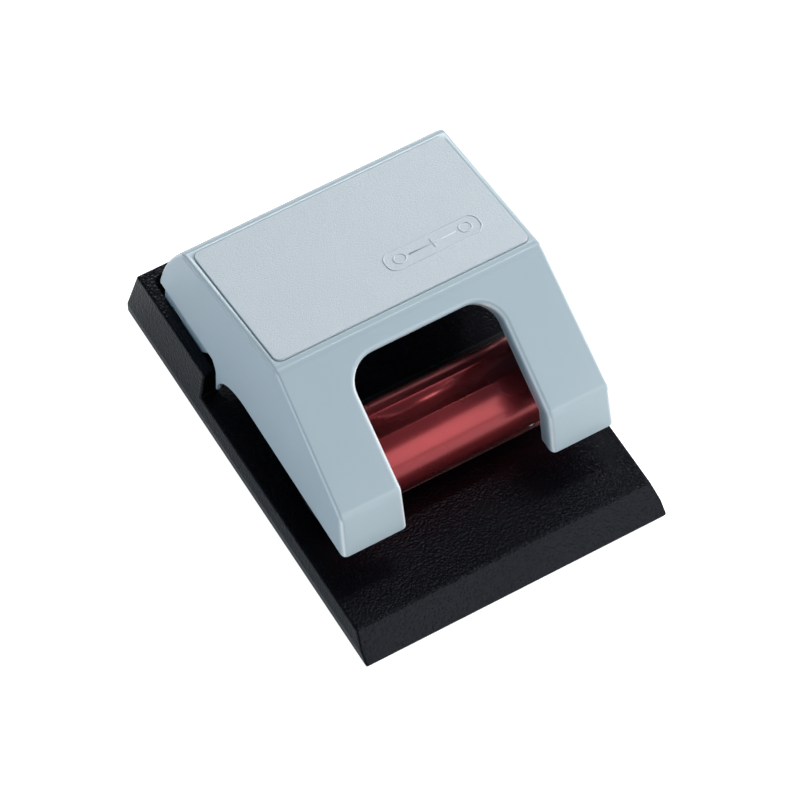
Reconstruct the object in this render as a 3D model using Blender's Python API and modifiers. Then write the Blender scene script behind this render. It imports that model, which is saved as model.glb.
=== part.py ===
"""A two-hole desk punch: base with a chip tray, a round punch housing and a wide press lever.

Units are metres and +Z is up. The front, where the paper goes in, is -Y. The origin is on the
table, at the middle of the base. Heights are above the table, and a place along the depth is
given as its distance from the front edge, or from the rear edge where it belongs to the pivot.
"""

import math

import bmesh
import bpy
from mathutils import Matrix, Vector

MM = 0.001

# Gaps between pieces
SEAT_GAP = 0.3 * MM  # between pieces that touch or are screwed together
RUNNING_GAP = 0.15 * MM  # round a shaft, a pin or a pressed-in plug
LIP_OVERLAP = 1.0 * MM  # how far joined shapes and cutters reach past each other

# Base
BASE_WIDTH = 112.0 * MM
BASE_DEPTH = 158.0 * MM
BASE_BOTTOM = 0.8 * MM
BASE_WALL = 2.4 * MM
DECK_TOP = 10.4 * MM
DECK_THICKNESS = 2.4 * MM
FRONT_LIP = 1.2 * MM
FRONT_BEVEL_RUN = 8.8 * MM
BASE_EDGE_ROUND = 0.8 * MM
RIM_TOP = 20.0 * MM
RIM_DEPTH = 48.0 * MM
RIM_SIDE_LEAN = 3.7 * MM
RIM_BACK_LEAN = 1.6 * MM
RIM_FRONT_LEAN = 1.5 * MM
LEAN_START = 5.0 * MM  # the sides and the back stand upright up to here, then lean in
PAN_FLOOR_TOP = 4.6 * MM
PAN_FLOOR_BOTTOM = 1.0 * MM
PAN_FRONT_LEAD = 6.0 * MM  # how far the pan reaches ahead of the rim
PAN_BACK_WALL = 4.8 * MM
PAN_CORNER = 3.0 * MM
TRAY_BULKHEAD = 4.0 * MM  # wall between the tray space and the pan

# Punching
HOLE_SPACING = 80.0 * MM
HOLE_DIAMETER = 5.5 * MM
PAPER_MARGIN = 12.0 * MM  # hole centre to paper edge
HOLE_LINE = 54.4 * MM  # from the front edge
SLOT_HEIGHT = 2.2 * MM
TUBE_RADIUS = 14.75 * MM
TUBE_WALL = 1.5 * MM
END_FLANGE = 0.7 * MM
BLOCK_WALL = 1.7 * MM
PIN_REST_BOTTOM = 18.0 * MM
PIN_HEAD_RADIUS = 4.1 * MM
PIN_HEAD_HEIGHT = 3.2 * MM
PIN_DOME_RADIUS = 12.0 * MM
PIN_MOUTH_RADIUS = 3.6 * MM
SLEEVE_WALL = 0.9 * MM
SLEEVE_HEIGHT = 15.4 * MM
SLEEVE_FLANGE = 1.2 * MM
COLLAR_THICKNESS = 1.0 * MM
SPRING_WIRE = 0.8 * MM
SPRING_TURNS = 7
DIE_THICKNESS = 1.7 * MM
DIE_DEPTH = 18.0 * MM
DIE_OVERHANG = 4.1 * MM  # past each hole centre
DIE_SCREW_INSET = 7.0 * MM  # from each hole centre, towards the middle
DIE_PAD_FLOOR = 2.4 * MM

# Lever
LEVER_INSET = 5.8 * MM  # each side of the base stands out past the lever's foot
LEVER_DRAFT = 0.0345  # how much each side leans in for each unit of height
LEVER_WALL = 2.4 * MM
LEVER_EDGE_ROUND = 1.8 * MM
LEG_FRONT = 24.1 * MM
LEG_BOTTOM = 28.4 * MM
SIDE_EDGE = 31.4 * MM  # the side's lower edge rises from the legs to this height
LEG_END_LEAN = 3.1 * MM
LEG_END_TOP = 46.2 * MM
CREST_FROM_FRONT = 69.0 * MM
CREST_HEIGHT = 75.5 * MM
REAR_TOP_FROM_REAR = 28.1 * MM
REAR_TOP_HEIGHT = 64.0 * MM
REAR_FOOT_FROM_REAR = 12.6 * MM
REAR_FOOT_HEIGHT = 27.7 * MM
REAR_BULGE = 2.2 * MM
REAR_FLARE = 0.2  # how fast the foot of the back runs out as it comes down
TONGUE_GAP = 3.6 * MM  # between the rim's front and the tongue of the side wall
TONGUE_TIP = 0.8 * MM
TONGUE_BOTTOM = 17.8 * MM
TONGUE_HEEL = 2.6 * MM  # how far back the tongue's rear edge runs out into the side's lower edge
ARCH_RUN = 17.6 * MM  # from the tongue forward to the arch's highest point
WINDOW_WIDTH = 53.4 * MM
WINDOW_TOP = 62.6 * MM  # from the front edge, measured to a point on the slope
WINDOW_CORNER = 10.0 * MM
FLANGE_DEPTH = 6.4 * MM
PANEL_THICKNESS = 1.1 * MM
PANEL_POCKET = 0.8 * MM
PANEL_MARGIN = 2.4 * MM
PANEL_CORNER = 2.5 * MM

# Pivot
PIVOT_FROM_REAR = 21.6 * MM
PIVOT_HEIGHT = 17.0 * MM
PRESS_ANGLE = math.radians(9.0)
SHAFT_RADIUS = 2.5 * MM
SHAFT_GROOVE = 0.4 * MM
EAR_BITE = 0.3 * MM  # how far the ear's outer face is let into the side wall
EAR_THICKNESS = 2.4 * MM
EAR_OVERLAP = 7.0 * MM  # how far the ear runs up inside the side wall
EAR_SETBACK = 2.0 * MM  # from the rim's front to the ear's front
EAR_SWING_CLEARANCE = 0.8 * MM
EAR_CHIN_ANGLE = math.radians(35.0)
BUSH_WALL = 1.4 * MM
BUSH_FLANGE = 1.2 * MM
BRACKET_SHEET = 2.0 * MM
BRACKET_DEPTH = 25.0 * MM
BRACKET_EYE = 6.0 * MM
BRACKET_CLEARANCE = 3.1 * MM  # between bracket cheek and lever ear
CLIP_THICKNESS = 0.8 * MM

# Press plates, under the lever above the pins
PRESS_PLATE_THICKNESS = 2.0 * MM
PRESS_PLATE_WIDTH = 15.0 * MM
PRESS_PLATE_FRONT = 2.9 * MM  # ahead of the pin's axis
PRESS_PLATE_BACK = 15.0 * MM  # behind the pin's axis
PRESS_CONTACT = 57.5 * MM  # underside of the plate above the pin's axis
PRESS_BOSS_RADIUS = 2.6 * MM
PRESS_BOSS_BACK = 11.1 * MM
PRESS_SCREW_PITCH = 9.0 * MM

# Chip tray and feet
TRAY_FLOOR = 1.6 * MM
TRAY_WALL = 1.4 * MM
TRAY_BOTTOM = 1.0 * MM
TRAY_SIDE_GAP = 0.4 * MM
TRAY_HINGE_HEIGHT = 3.6 * MM
TRAY_HINGE_SETBACK = 3.5 * MM  # from the bulkhead to the hinge axis
TRAY_STUB_RADIUS = 1.2 * MM
TRAY_STUB_LENGTH = 1.5 * MM
TRAY_FRONT_WALL = 11.0 * MM
FOOT_RADIUS = 5.0 * MM
FOOT_RECESS = 0.6 * MM
FOOT_INSET = 12.0 * MM  # from the side of the base
FRONT_FOOT = 18.0 * MM
REAR_FOOT = 12.0 * MM  # from the rear edge

# Screws
SCREW_SHANK = 1.3 * MM
SCREW_HEAD = 2.2 * MM
SCREW_HEAD_HEIGHT = 0.9 * MM
SCREW_SLOT_WIDTH = 0.6 * MM
SCREW_SLOT_DEPTH = 0.4 * MM
SADDLE_SCREW_X = (-33.0 * MM, -11.0 * MM, 11.0 * MM, 33.0 * MM)
TUBE_SCREW_X = 20.0 * MM
TUBE_SCREW_HEIGHT = 18.0 * MM

# Saddle behind the paper slot
SADDLE_TOP_ANGLE = math.radians(-10.0)
SADDLE_CREST = 3.0 * MM
SADDLE_FOOT = 14.0 * MM
SADDLE_FOOT_HEIGHT = 3.4 * MM

FRONT_Y = -BASE_DEPTH / 2
REAR_Y = BASE_DEPTH / 2
HALF_WIDTH = BASE_WIDTH / 2
DECK_UNDERSIDE = DECK_TOP - DECK_THICKNESS
RIM_FRONT_Y = REAR_Y - RIM_DEPTH
HOLE_Y = FRONT_Y + HOLE_LINE
HOLE_X = HOLE_SPACING / 2
TUBE_HEIGHT = DECK_TOP + SLOT_HEIGHT + TUBE_RADIUS
PIVOT_Y = REAR_Y - PIVOT_FROM_REAR
LEVER_FOOT_HALF = HALF_WIDTH - LEVER_INSET
EAR_OUTER = LEVER_FOOT_HALF - LEVER_WALL + EAR_BITE
EAR_INNER = EAR_OUTER - EAR_THICKNESS
PAN_HALF = EAR_OUTER + SEAT_GAP
PAN_FRONT_Y = RIM_FRONT_Y - PAN_FRONT_LEAD
PAN_REAR_Y = REAR_Y - PAN_BACK_WALL
TRAY_SPACE_REAR_Y = PAN_FRONT_Y - TRAY_BULKHEAD
TRAY_SPACE_HALF = HALF_WIDTH - BASE_WALL
TRAY_HINGE_Y = TRAY_SPACE_REAR_Y - TRAY_HINGE_SETBACK
PIN_RADIUS = HOLE_DIAMETER / 2
GUIDE_BORE = PIN_HEAD_RADIUS + SEAT_GAP
SLEEVE_RADIUS = PIN_RADIUS + RUNNING_GAP + SLEEVE_WALL
SLEEVE_BORE = SLEEVE_RADIUS + SEAT_GAP
SLEEVE_BOTTOM = DECK_TOP + SLOT_HEIGHT + SEAT_GAP
SLEEVE_TOP = SLEEVE_BOTTOM + SLEEVE_HEIGHT
SPRING_SEAT = SLEEVE_TOP + SEAT_GAP + SLEEVE_FLANGE
PRESS_TILT = PRESS_ANGLE / 2  # the plate leans up to the front at rest, and down when pressed
PIN_TOP = PRESS_CONTACT - SEAT_GAP - PIN_DOME_RADIUS * (1 / math.cos(PRESS_TILT) - 1)
PIN_HEAD_BOTTOM = PIN_TOP - PIN_HEAD_HEIGHT - SEAT_GAP
COLLAR_BOTTOM = PIN_HEAD_BOTTOM - SEAT_GAP - COLLAR_THICKNESS


def lever_half(height):
    """Half the lever's width at a height: the sides lean in towards the top."""
    return LEVER_FOOT_HALF - (height - LEG_BOTTOM) * LEVER_DRAFT


TUBE_TOP = TUBE_HEIGHT + TUBE_RADIUS
TUBE_END_FLANGE_X = lever_half(TUBE_TOP) - LEVER_WALL - 1.3 * MM
TUBE_HALF = TUBE_END_FLANGE_X - END_FLANGE - SEAT_GAP
SADDLE_HALF = TUBE_HALF - 1.0 * MM

# Round shapes: how many sides
FINE = 48
ROUND = 32
SMALL = 16


# Collections, materials and the tools that the pieces are made with


def clear_scene():
    for leftover in list(bpy.data.objects):
        bpy.data.objects.remove(leftover)


def new_collection(name):
    collection = bpy.data.collections.new(name)
    bpy.context.scene.collection.children.link(collection)
    return collection


def new_material(name, colour, roughness, metallic=0.0):
    material = bpy.data.materials.new(name)
    material.use_nodes = True
    shader = material.node_tree.nodes["Principled BSDF"]
    shader.inputs["Base Color"].default_value = (*colour, 1.0)
    shader.inputs["Roughness"].default_value = roughness
    shader.inputs["Metallic"].default_value = metallic
    return material


clear_scene()
PARTS = new_collection("hole_punch")
TOOLS = new_collection("cutters")
BLUE_PLASTIC = new_material("blue_grey_plastic", (0.42, 0.56, 0.63), 0.35)
PANEL_PLASTIC = new_material("grained_blue_grey_plastic", (0.50, 0.61, 0.66), 0.55)
BLACK_PLASTIC = new_material("black_grained_plastic", (0.012, 0.012, 0.014), 0.5)
RED_LACQUER = new_material("red_lacquer", (0.28, 0.015, 0.02), 0.2, 0.4)
BLACK_METAL = new_material("black_painted_metal", (0.015, 0.015, 0.016), 0.4, 0.6)
STEEL = new_material("ground_steel", (0.55, 0.55, 0.56), 0.3, 1.0)
ZINC = new_material("zinc_plate", (0.60, 0.61, 0.60), 0.4, 1.0)
NYLON = new_material("white_nylon", (0.75, 0.74, 0.70), 0.5)
RUBBER = new_material("black_rubber", (0.02, 0.02, 0.02), 0.8)

ALONG_X = (math.pi / 2, 0.0, math.pi / 2)  # an outline drawn in Y and Z, with its thickness along X
UPRIGHT = (0.0, 0.0, 0.0)  # an outline drawn in X and Y, with its thickness along Z
TURN_TO_X = (0.0, math.pi / 2, 0.0)
TURN_TO_Y = (math.pi / 2, 0.0, 0.0)


def place(obj, material=None, collection=None):
    """Puts a new object in its collection: a part with its material, or a tool that isn't shown."""
    (collection or PARTS).objects.link(obj)
    if material:
        obj.data.materials.append(material)
    return obj


def as_tool(obj):
    """Makes an object a cutter or a joined shape: it isn't part of the model by itself."""
    for owner in list(obj.users_collection):
        owner.objects.unlink(obj)
    TOOLS.objects.link(obj)
    obj.hide_render = True
    obj.display_type = "WIRE"
    return obj


def boolean(obj, tool, operation):
    modifier = obj.modifiers.new(f"{operation.lower()}_{tool.name}", "BOOLEAN")
    modifier.operation = operation
    modifier.object = as_tool(tool)
    return obj


def cut(obj, *tools):
    for tool in tools:
        boolean(obj, tool, "DIFFERENCE")
    return obj


def join(obj, *tools):
    for tool in tools:
        boolean(obj, tool, "UNION")
    return obj


def round_edges(obj, width, segments=2, angle=30.0):
    modifier = obj.modifiers.new("round_edges", "BEVEL")
    modifier.width = width
    modifier.segments = segments
    modifier.limit_method = "ANGLE"
    modifier.angle_limit = math.radians(angle)
    return obj


def shade_round(obj, angle=35.0):
    obj.data.shade_smooth()
    obj.data.set_sharp_from_angle(angle=math.radians(angle))
    return obj


def mesh_object(name, shape, material):
    """A new object from a bmesh."""
    mesh = bpy.data.meshes.new(name)
    shape.to_mesh(mesh)
    shape.free()
    return place(bpy.data.objects.new(name, mesh), material)


def box(name, low, high, material=None):
    """A box from its lowest to its highest corner."""
    low, high = Vector(low), Vector(high)
    shape = bmesh.new()
    bmesh.ops.create_cube(shape, size=1.0)
    bmesh.ops.scale(shape, vec=high - low, verts=shape.verts)
    obj = mesh_object(name, shape, material)
    obj.location = (low + high) / 2
    return obj


def cylinder(name, radius, length, centre, turn=UPRIGHT, sides=ROUND, material=None):
    """A cylinder about its centre, along Z unless it is turned."""
    shape = bmesh.new()
    bmesh.ops.create_cone(
        shape, cap_ends=True, segments=sides, radius1=radius, radius2=radius, depth=length
    )
    obj = mesh_object(name, shape, material)
    obj.location = centre
    obj.rotation_euler = turn
    return shade_round(obj)


def slab(name, outline, thickness, centre, turn=ALONG_X, material=None):
    """A flat outline given a thickness, centred on its plane, as a closed mesh."""
    curve = bpy.data.curves.new(name, "CURVE")
    curve.dimensions = "2D"
    curve.fill_mode = "BOTH"
    curve.extrude = thickness / 2
    spline = curve.splines.new("POLY")
    spline.points.add(len(outline) - 1)
    for point, (across, up) in zip(spline.points, outline):
        point.co = (across, up, 0.0, 1.0)
    spline.use_cyclic_u = True
    guide = place(bpy.data.objects.new(name + "_outline", curve))
    guide.location = centre
    guide.rotation_euler = turn
    bpy.context.view_layer.update()
    graph = bpy.context.evaluated_depsgraph_get()
    mesh = bpy.data.meshes.new_from_object(guide.evaluated_get(graph))
    shape = bmesh.new()
    shape.from_mesh(mesh)
    bmesh.ops.remove_doubles(shape, verts=shape.verts, dist=0.001 * MM)
    bmesh.ops.recalc_face_normals(shape, faces=shape.faces)
    shape.to_mesh(mesh)
    shape.free()
    obj = place(bpy.data.objects.new(name, mesh), material)
    obj.matrix_world = guide.matrix_world
    bpy.data.objects.remove(guide)
    return obj


def turned(name, profile, centre, turn=UPRIGHT, sides=ROUND, material=None):
    """A turned shape: (radius, height) points, from the top of its outer side to the bottom."""
    closed = profile[0] == profile[-1]
    distinct = profile[:-1] if closed else profile
    shape = bmesh.new()
    points = [shape.verts.new((radius, 0.0, height)) for radius, height in distinct]
    ends = points[1:] + points[:1] if closed else points[1:]
    for start, end in zip(points, ends):
        shape.edges.new((start, end))
    obj = mesh_object(name, shape, material)
    obj.location = centre
    obj.rotation_euler = turn
    screw = obj.modifiers.new("turn", "SCREW")
    screw.steps = screw.render_steps = sides
    screw.use_merge_vertices = True
    screw.merge_threshold = 0.01 * MM
    screw.use_smooth_shade = True
    return obj


def arc(centre, radius, start, end, steps):
    """Points on an arc, from one angle to another, both ends included."""
    angles = [start + (end - start) * step / steps for step in range(steps + 1)]
    return [(centre[0] + radius * math.cos(a), centre[1] + radius * math.sin(a)) for a in angles]


def bowed(start, end, bulge, steps):
    """Points between two points along a shallow curve that stands out by bulge to its left."""
    start, end = Vector(start), Vector(end)
    along = end - start
    left = Vector((-along.y, along.x)).normalized()
    shares = [step / steps for step in range(1, steps)]
    return [tuple(start + along * t + left * 4 * bulge * t * (1 - t)) for t in shares]


def inset(outline, distances):
    """The outline with each edge moved in by its own distance. Edge i runs from point i to i+1."""
    count = len(outline)
    points = [Vector(point) for point in outline]
    area = sum(a.x * b.y - b.x * a.y for a, b in zip(points, points[1:] + points[:1]))
    side = 1.0 if area > 0 else -1.0
    moved = []
    for i in range(count):
        before, here, after = points[i - 1], points[i], points[(i + 1) % count]
        lines = []
        for first, second, distance in (
            (before, here, distances[i - 1]),
            (here, after, distances[i]),
        ):
            along = (second - first).normalized()
            inward = Vector((-along.y, along.x)) * side
            lines.append((inward, inward.dot(first) + distance))
        (a, c), (b, d) = lines
        cross = a.x * b.y - a.y * b.x
        moved.append(((c * b.y - d * a.y) / cross, (a.x * d - b.x * c) / cross))
    return moved


def rounded_rectangle(low, high, radius, steps=4):
    """Outline of a rectangle with round corners."""
    corners = (
        (high[0] - radius, high[1] - radius, 0.0),
        (low[0] + radius, high[1] - radius, math.pi / 2),
        (low[0] + radius, low[1] + radius, math.pi),
        (high[0] - radius, low[1] + radius, 3 * math.pi / 2),
    )
    points = []
    for x, y, start in corners:
        points += arc((x, y), radius, start, start + math.pi / 2, steps)
    return points


def screw(name, top, length, direction=UPRIGHT, material=None):
    """A slotted pan-head screw. The top of its head is at a point, and its shank runs down its axis."""
    profile = (
        (0.0, 0.0),
        (SCREW_HEAD * 0.8, 0.0),
        (SCREW_HEAD, -SCREW_HEAD_HEIGHT * 0.4),
        (SCREW_HEAD, -SCREW_HEAD_HEIGHT),
        (SCREW_SHANK, -SCREW_HEAD_HEIGHT),
        (SCREW_SHANK, -length + SCREW_SHANK),
        (0.0, -length),
    )
    obj = turned(name, profile, top, direction, SMALL, material or ZINC)
    slot = box(
        name + "_slot",
        (-SCREW_HEAD - LIP_OVERLAP, -SCREW_SLOT_WIDTH / 2, -SCREW_SLOT_DEPTH),
        (SCREW_HEAD + LIP_OVERLAP, SCREW_SLOT_WIDTH / 2, LIP_OVERLAP),
    )
    slot.matrix_world = obj.matrix_basis @ slot.matrix_basis
    return cut(obj, slot)


def screw_hole(name, top, length, direction=UPRIGHT, head_depth=0.0):
    """The cutter for a screw: its shank with a gap round it, and its head where that is sunk."""
    radius = SCREW_SHANK + RUNNING_GAP
    head = SCREW_HEAD + SEAT_GAP
    depth = max(head_depth, 0.0)
    profile = [(0.0, LIP_OVERLAP)]
    if depth:
        profile += [(head, LIP_OVERLAP), (head, -depth)]
    else:
        profile += [(radius, LIP_OVERLAP)]
    profile += [(radius, -depth), (radius, -length - SEAT_GAP), (0.0, -length - SEAT_GAP)]
    distinct = [p for i, p in enumerate(profile) if i == 0 or p != profile[i - 1]]
    return turned(name, distinct, top, direction, SMALL)


SIDES = (("left", -1), ("right", 1))


# The base: one moulding with a bevelled front, a raised rim at the back and a pan for the pivot


def base_profile():
    """Side view of the base under the rim: front lip, bevel, deck and back, in Y and Z."""
    return [
        (FRONT_Y, BASE_BOTTOM),
        (REAR_Y, BASE_BOTTOM),
        (REAR_Y, DECK_TOP),
        (FRONT_Y + FRONT_BEVEL_RUN, DECK_TOP),
        (FRONT_Y, BASE_BOTTOM + FRONT_LIP),
    ]


def bevel_underside(height):
    """Where the underside of the front bevel is at a height, as a place along the depth."""
    run = FRONT_BEVEL_RUN
    rise = DECK_TOP - BASE_BOTTOM - FRONT_LIP
    lip_top = BASE_BOTTOM + FRONT_LIP
    return FRONT_Y + ((height - lip_top) * run + BASE_WALL * math.hypot(run, rise)) / rise


def base_outline():
    """Side view of the whole base: the profile of the deck with the raised rim at the back."""
    bottom_front, bottom_rear, _, deck_front, lip_top = base_profile()
    return [
        bottom_front,
        bottom_rear,
        (REAR_Y, RIM_TOP),
        (RIM_FRONT_Y + RIM_FRONT_LEAN, RIM_TOP),
        (RIM_FRONT_Y, DECK_TOP),
        deck_front,
        lip_top,
    ]


def lean_cutter(name, edge, lean, thickness, turn):
    """A wedge that takes off what is outside a face that leans in from LEAN_START upward."""
    top = RIM_TOP + LIP_OVERLAP
    reach = lean * (top - LEAN_START) / (RIM_TOP - LEAN_START)
    outside = edge + math.copysign(2 * LIP_OVERLAP, edge)
    outline = [(edge, LEAN_START), (edge - reach, top), (outside, top), (outside, LEAN_START)]
    return slab(name, outline, thickness, (0.0, 0.0, 0.0), turn)


def lean_in(base):
    """Leans the base's two sides and its back in towards the top."""
    for side_name, side in SIDES:
        lean = side * RIM_SIDE_LEAN
        cut(base, lean_cutter(f"lean_{side_name}", side * HALF_WIDTH, lean, BASE_DEPTH * 2, TURN_TO_Y))
    return cut(base, lean_cutter("lean_back", REAR_Y, RIM_BACK_LEAN, BASE_WIDTH * 2, ALONG_X))


def tray_space():
    """The hollow that the chip tray closes, from below, with the wall under the bevel left whole."""
    profile = base_profile()
    inner = inset(profile, [0.0, 0.0, DECK_THICKNESS, BASE_WALL, BASE_WALL])
    low = BASE_BOTTOM - LIP_OVERLAP
    front_bottom, _, _, bevel_top, lip_top = inner
    outline = [
        (front_bottom[0], low),
        (TRAY_SPACE_REAR_Y, low),
        (TRAY_SPACE_REAR_Y, DECK_UNDERSIDE),
        bevel_top,
        lip_top,
    ]
    return slab("tray_space", outline, 2 * TRAY_SPACE_HALF, (0.0, 0.0, 0.0))


def die_pad_and_pocket():
    """A pad under the deck that carries the die plate, and the pocket that the plate lies in."""
    front = HOLE_Y - DIE_DEPTH / 2
    rear = HOLE_Y + DIE_DEPTH / 2
    half = HOLE_X + DIE_OVERHANG
    floor = DECK_TOP - DIE_THICKNESS - SEAT_GAP
    margin = BASE_WALL / 2
    pad = box(
        "die_pad",
        (-half - margin, front - margin, floor - DIE_PAD_FLOOR),
        (half + margin, rear + margin, DECK_UNDERSIDE + LIP_OVERLAP),
    )
    pocket = box(
        "die_pocket",
        (-half - SEAT_GAP, front - SEAT_GAP, floor),
        (half + SEAT_GAP, rear + SEAT_GAP, DECK_TOP + LIP_OVERLAP),
    )
    return pad, pocket


def die_screw_places():
    """Where the die plate's four screws go, between the holes."""
    across = HOLE_X - DIE_SCREW_INSET
    along = DIE_DEPTH / 2 - SCREW_HEAD - 1.0 * MM
    return [(sx * across, HOLE_Y + sy * along) for sx in (-1, 1) for sy in (-1, 1)]


def saddle_screw_y():
    return HOLE_Y + PAPER_MARGIN + SADDLE_FOOT * 0.72


def bracket_screw_places():
    half = EAR_INNER - BRACKET_CLEARANCE - 8.0 * MM
    reach = BRACKET_DEPTH / 2 - 4.0 * MM
    return [(sx * half, PIVOT_Y + sy * reach) for sx in (-1, 1) for sy in (-1, 1)]


def foot_place(side, y):
    return (side * (HALF_WIDTH - FOOT_INSET), y)


def foot_recess(name, x, y, bottom):
    height = FOOT_RECESS + LIP_OVERLAP
    centre = (x, y, bottom + FOOT_RECESS - height / 2)
    return cylinder(name, FOOT_RADIUS + SEAT_GAP, height, centre, sides=ROUND)


def build_base_housing():
    base = slab("base_housing", base_outline(), BASE_WIDTH, (0.0, 0.0, 0.0), material=BLACK_PLASTIC)
    round_edges(lean_in(base), BASE_EDGE_ROUND, angle=25.0)
    pan_outline = rounded_rectangle((-PAN_HALF, PAN_FRONT_Y), (PAN_HALF, PAN_REAR_Y), PAN_CORNER)
    pan_depth = RIM_TOP + LIP_OVERLAP - PAN_FLOOR_TOP
    pan = slab("pan", pan_outline, pan_depth, (0.0, 0.0, PAN_FLOOR_TOP + pan_depth / 2), UPRIGHT)
    pan_underside = box(
        "pan_underside",
        (-PAN_HALF, PAN_FRONT_Y, BASE_BOTTOM - LIP_OVERLAP),
        (PAN_HALF, PAN_REAR_Y, PAN_FLOOR_BOTTOM),
    )
    pad, pocket = die_pad_and_pocket()
    cut(base, pan, pan_underside, tray_space())
    join(base, pad)
    cut(base, pocket)
    for side_name, side in SIDES:
        chip_hole = cylinder(
            f"chip_hole_{side_name}",
            PIN_RADIUS + SEAT_GAP * 2,
            DECK_TOP * 2,
            (side * HOLE_X, HOLE_Y, DECK_TOP / 2),
        )
        x, y = foot_place(side, REAR_Y - REAR_FOOT)
        recess = foot_recess(f"rear_foot_recess_{side_name}", x, y, PAN_FLOOR_BOTTOM)
        hinge_reach = TRAY_STUB_LENGTH + SEAT_GAP - TRAY_SIDE_GAP
        stub_hole = cylinder(
            f"stub_hole_{side_name}",
            TRAY_STUB_RADIUS + RUNNING_GAP,
            hinge_reach + LIP_OVERLAP,
            (
                side * (TRAY_SPACE_HALF + (hinge_reach - LIP_OVERLAP) / 2),
                TRAY_HINGE_Y,
                TRAY_HINGE_HEIGHT,
            ),
            TURN_TO_X,
            SMALL,
        )
        cut(base, chip_hole, recess, stub_hole)
    for i, (x, y) in enumerate(die_screw_places()):
        cut(base, screw_hole(f"die_screw_hole_{i}", (x, y, DECK_TOP), DECK_TOP))
    for i, x in enumerate(SADDLE_SCREW_X):
        hole = screw_hole(f"saddle_hole_{i}", (x, saddle_screw_y(), DECK_TOP), DECK_THICKNESS * 2)
        cut(base, hole)
    for i, (x, y) in enumerate(bracket_screw_places()):
        cut(base, screw_hole(f"bracket_hole_{i}", (x, y, PAN_FLOOR_TOP), 2.4 * MM))
    return base


# Die plate, saddle and the round housing that guides the pins


def build_die_plate():
    half = HOLE_X + DIE_OVERHANG
    plate = box(
        "die_plate",
        (-half, HOLE_Y - DIE_DEPTH / 2, DECK_TOP - DIE_THICKNESS),
        (half, HOLE_Y + DIE_DEPTH / 2, DECK_TOP),
        STEEL,
    )
    for side_name, side in SIDES:
        hole = cylinder(
            f"die_hole_{side_name}",
            PIN_RADIUS + RUNNING_GAP,
            DIE_THICKNESS * 3,
            (side * HOLE_X, HOLE_Y, DECK_TOP),
        )
        cut(plate, hole)
    for i, (x, y) in enumerate(die_screw_places()):
        top = (x, y, DECK_TOP)
        depth = SCREW_HEAD_HEIGHT + SEAT_GAP
        cut(plate, screw_hole(f"plate_hole_{i}", top, DIE_THICKNESS * 2, head_depth=depth))
        screw(f"die_screw_{i + 1}", top, 3.6 * MM, material=ZINC)
    return plate


def build_saddle():
    """The bar behind the paper slot: its front face stops the paper, and it carries the tube."""
    centre = (HOLE_Y, TUBE_HEIGHT)
    seat = TUBE_RADIUS + SEAT_GAP
    stop_angle = -math.acos(min(1.0, PAPER_MARGIN / seat))
    foot_y = HOLE_Y + PAPER_MARGIN
    bottom = DECK_TOP + SEAT_GAP
    cradle = arc(centre, seat, stop_angle, SADDLE_TOP_ANGLE, 6)
    crest_y, crest_z = cradle[-1]
    outline = [
        (foot_y, bottom),
        *cradle,
        (crest_y + SADDLE_CREST, crest_z),
        (foot_y + SADDLE_FOOT * 0.55, bottom + SADDLE_FOOT_HEIGHT),
        (foot_y + SADDLE_FOOT, bottom + SADDLE_FOOT_HEIGHT),
        (foot_y + SADDLE_FOOT, bottom),
    ]
    saddle = slab("punch_saddle", outline, 2 * SADDLE_HALF, (0, 0, 0), material=BLACK_METAL)
    rise = SADDLE_FOOT_HEIGHT - 1.2 * MM
    for i, x in enumerate(SADDLE_SCREW_X):
        head_bottom = (x, saddle_screw_y(), DECK_UNDERSIDE - SCREW_HEAD_HEIGHT - SEAT_GAP)
        length = DECK_TOP + SEAT_GAP + rise - head_bottom[2]
        hole = screw_hole(f"saddle_thread_{i}", head_bottom, length, (math.pi, 0, 0))
        cut(saddle, hole)
        screw(f"saddle_screw_{i + 1}", head_bottom, length, (math.pi, 0, 0))
    return saddle


def tube_screw_top(side):
    """The head of a screw that holds the tube against the saddle, from behind."""
    return (side * TUBE_SCREW_X, HOLE_Y + PAPER_MARGIN + 5.2 * MM, TUBE_SCREW_HEIGHT)


def build_tube():
    """The round red housing, and the screws that hold it to the saddle."""
    tube = cylinder(
        "punch_tube",
        TUBE_RADIUS,
        2 * TUBE_HALF,
        (0.0, HOLE_Y, TUBE_HEIGHT),
        TURN_TO_X,
        FINE,
        RED_LACQUER,
    )
    bore = cylinder(
        "tube_bore",
        TUBE_RADIUS - TUBE_WALL,
        3 * TUBE_HALF,
        (0.0, HOLE_Y, TUBE_HEIGHT),
        TURN_TO_X,
        FINE,
    )
    cut(tube, bore)
    saddle = bpy.data.objects["punch_saddle"]
    for side_name, side in SIDES:
        cut(tube, *guide_cutters(side_name + "_tube", side))
        head = tube_screw_top(side)
        length = 9.5 * MM
        towards_front = (-math.pi / 2, 0, 0)
        clear = cylinder(
            f"tube_screw_space_{side_name}",
            SCREW_HEAD + SEAT_GAP,
            SADDLE_FOOT,
            (head[0], head[1] - SCREW_HEAD_HEIGHT - SEAT_GAP + SADDLE_FOOT / 2, head[2]),
            TURN_TO_Y,
            SMALL,
        )
        cut(saddle, clear, screw_hole(f"saddle_bore_{side_name}", head, length, towards_front))
        cut(tube, screw_hole(f"tube_bore_{side_name}", head, length, towards_front))
        screw(f"tube_screw_{side_name}", head, length, towards_front)
    return tube


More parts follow.
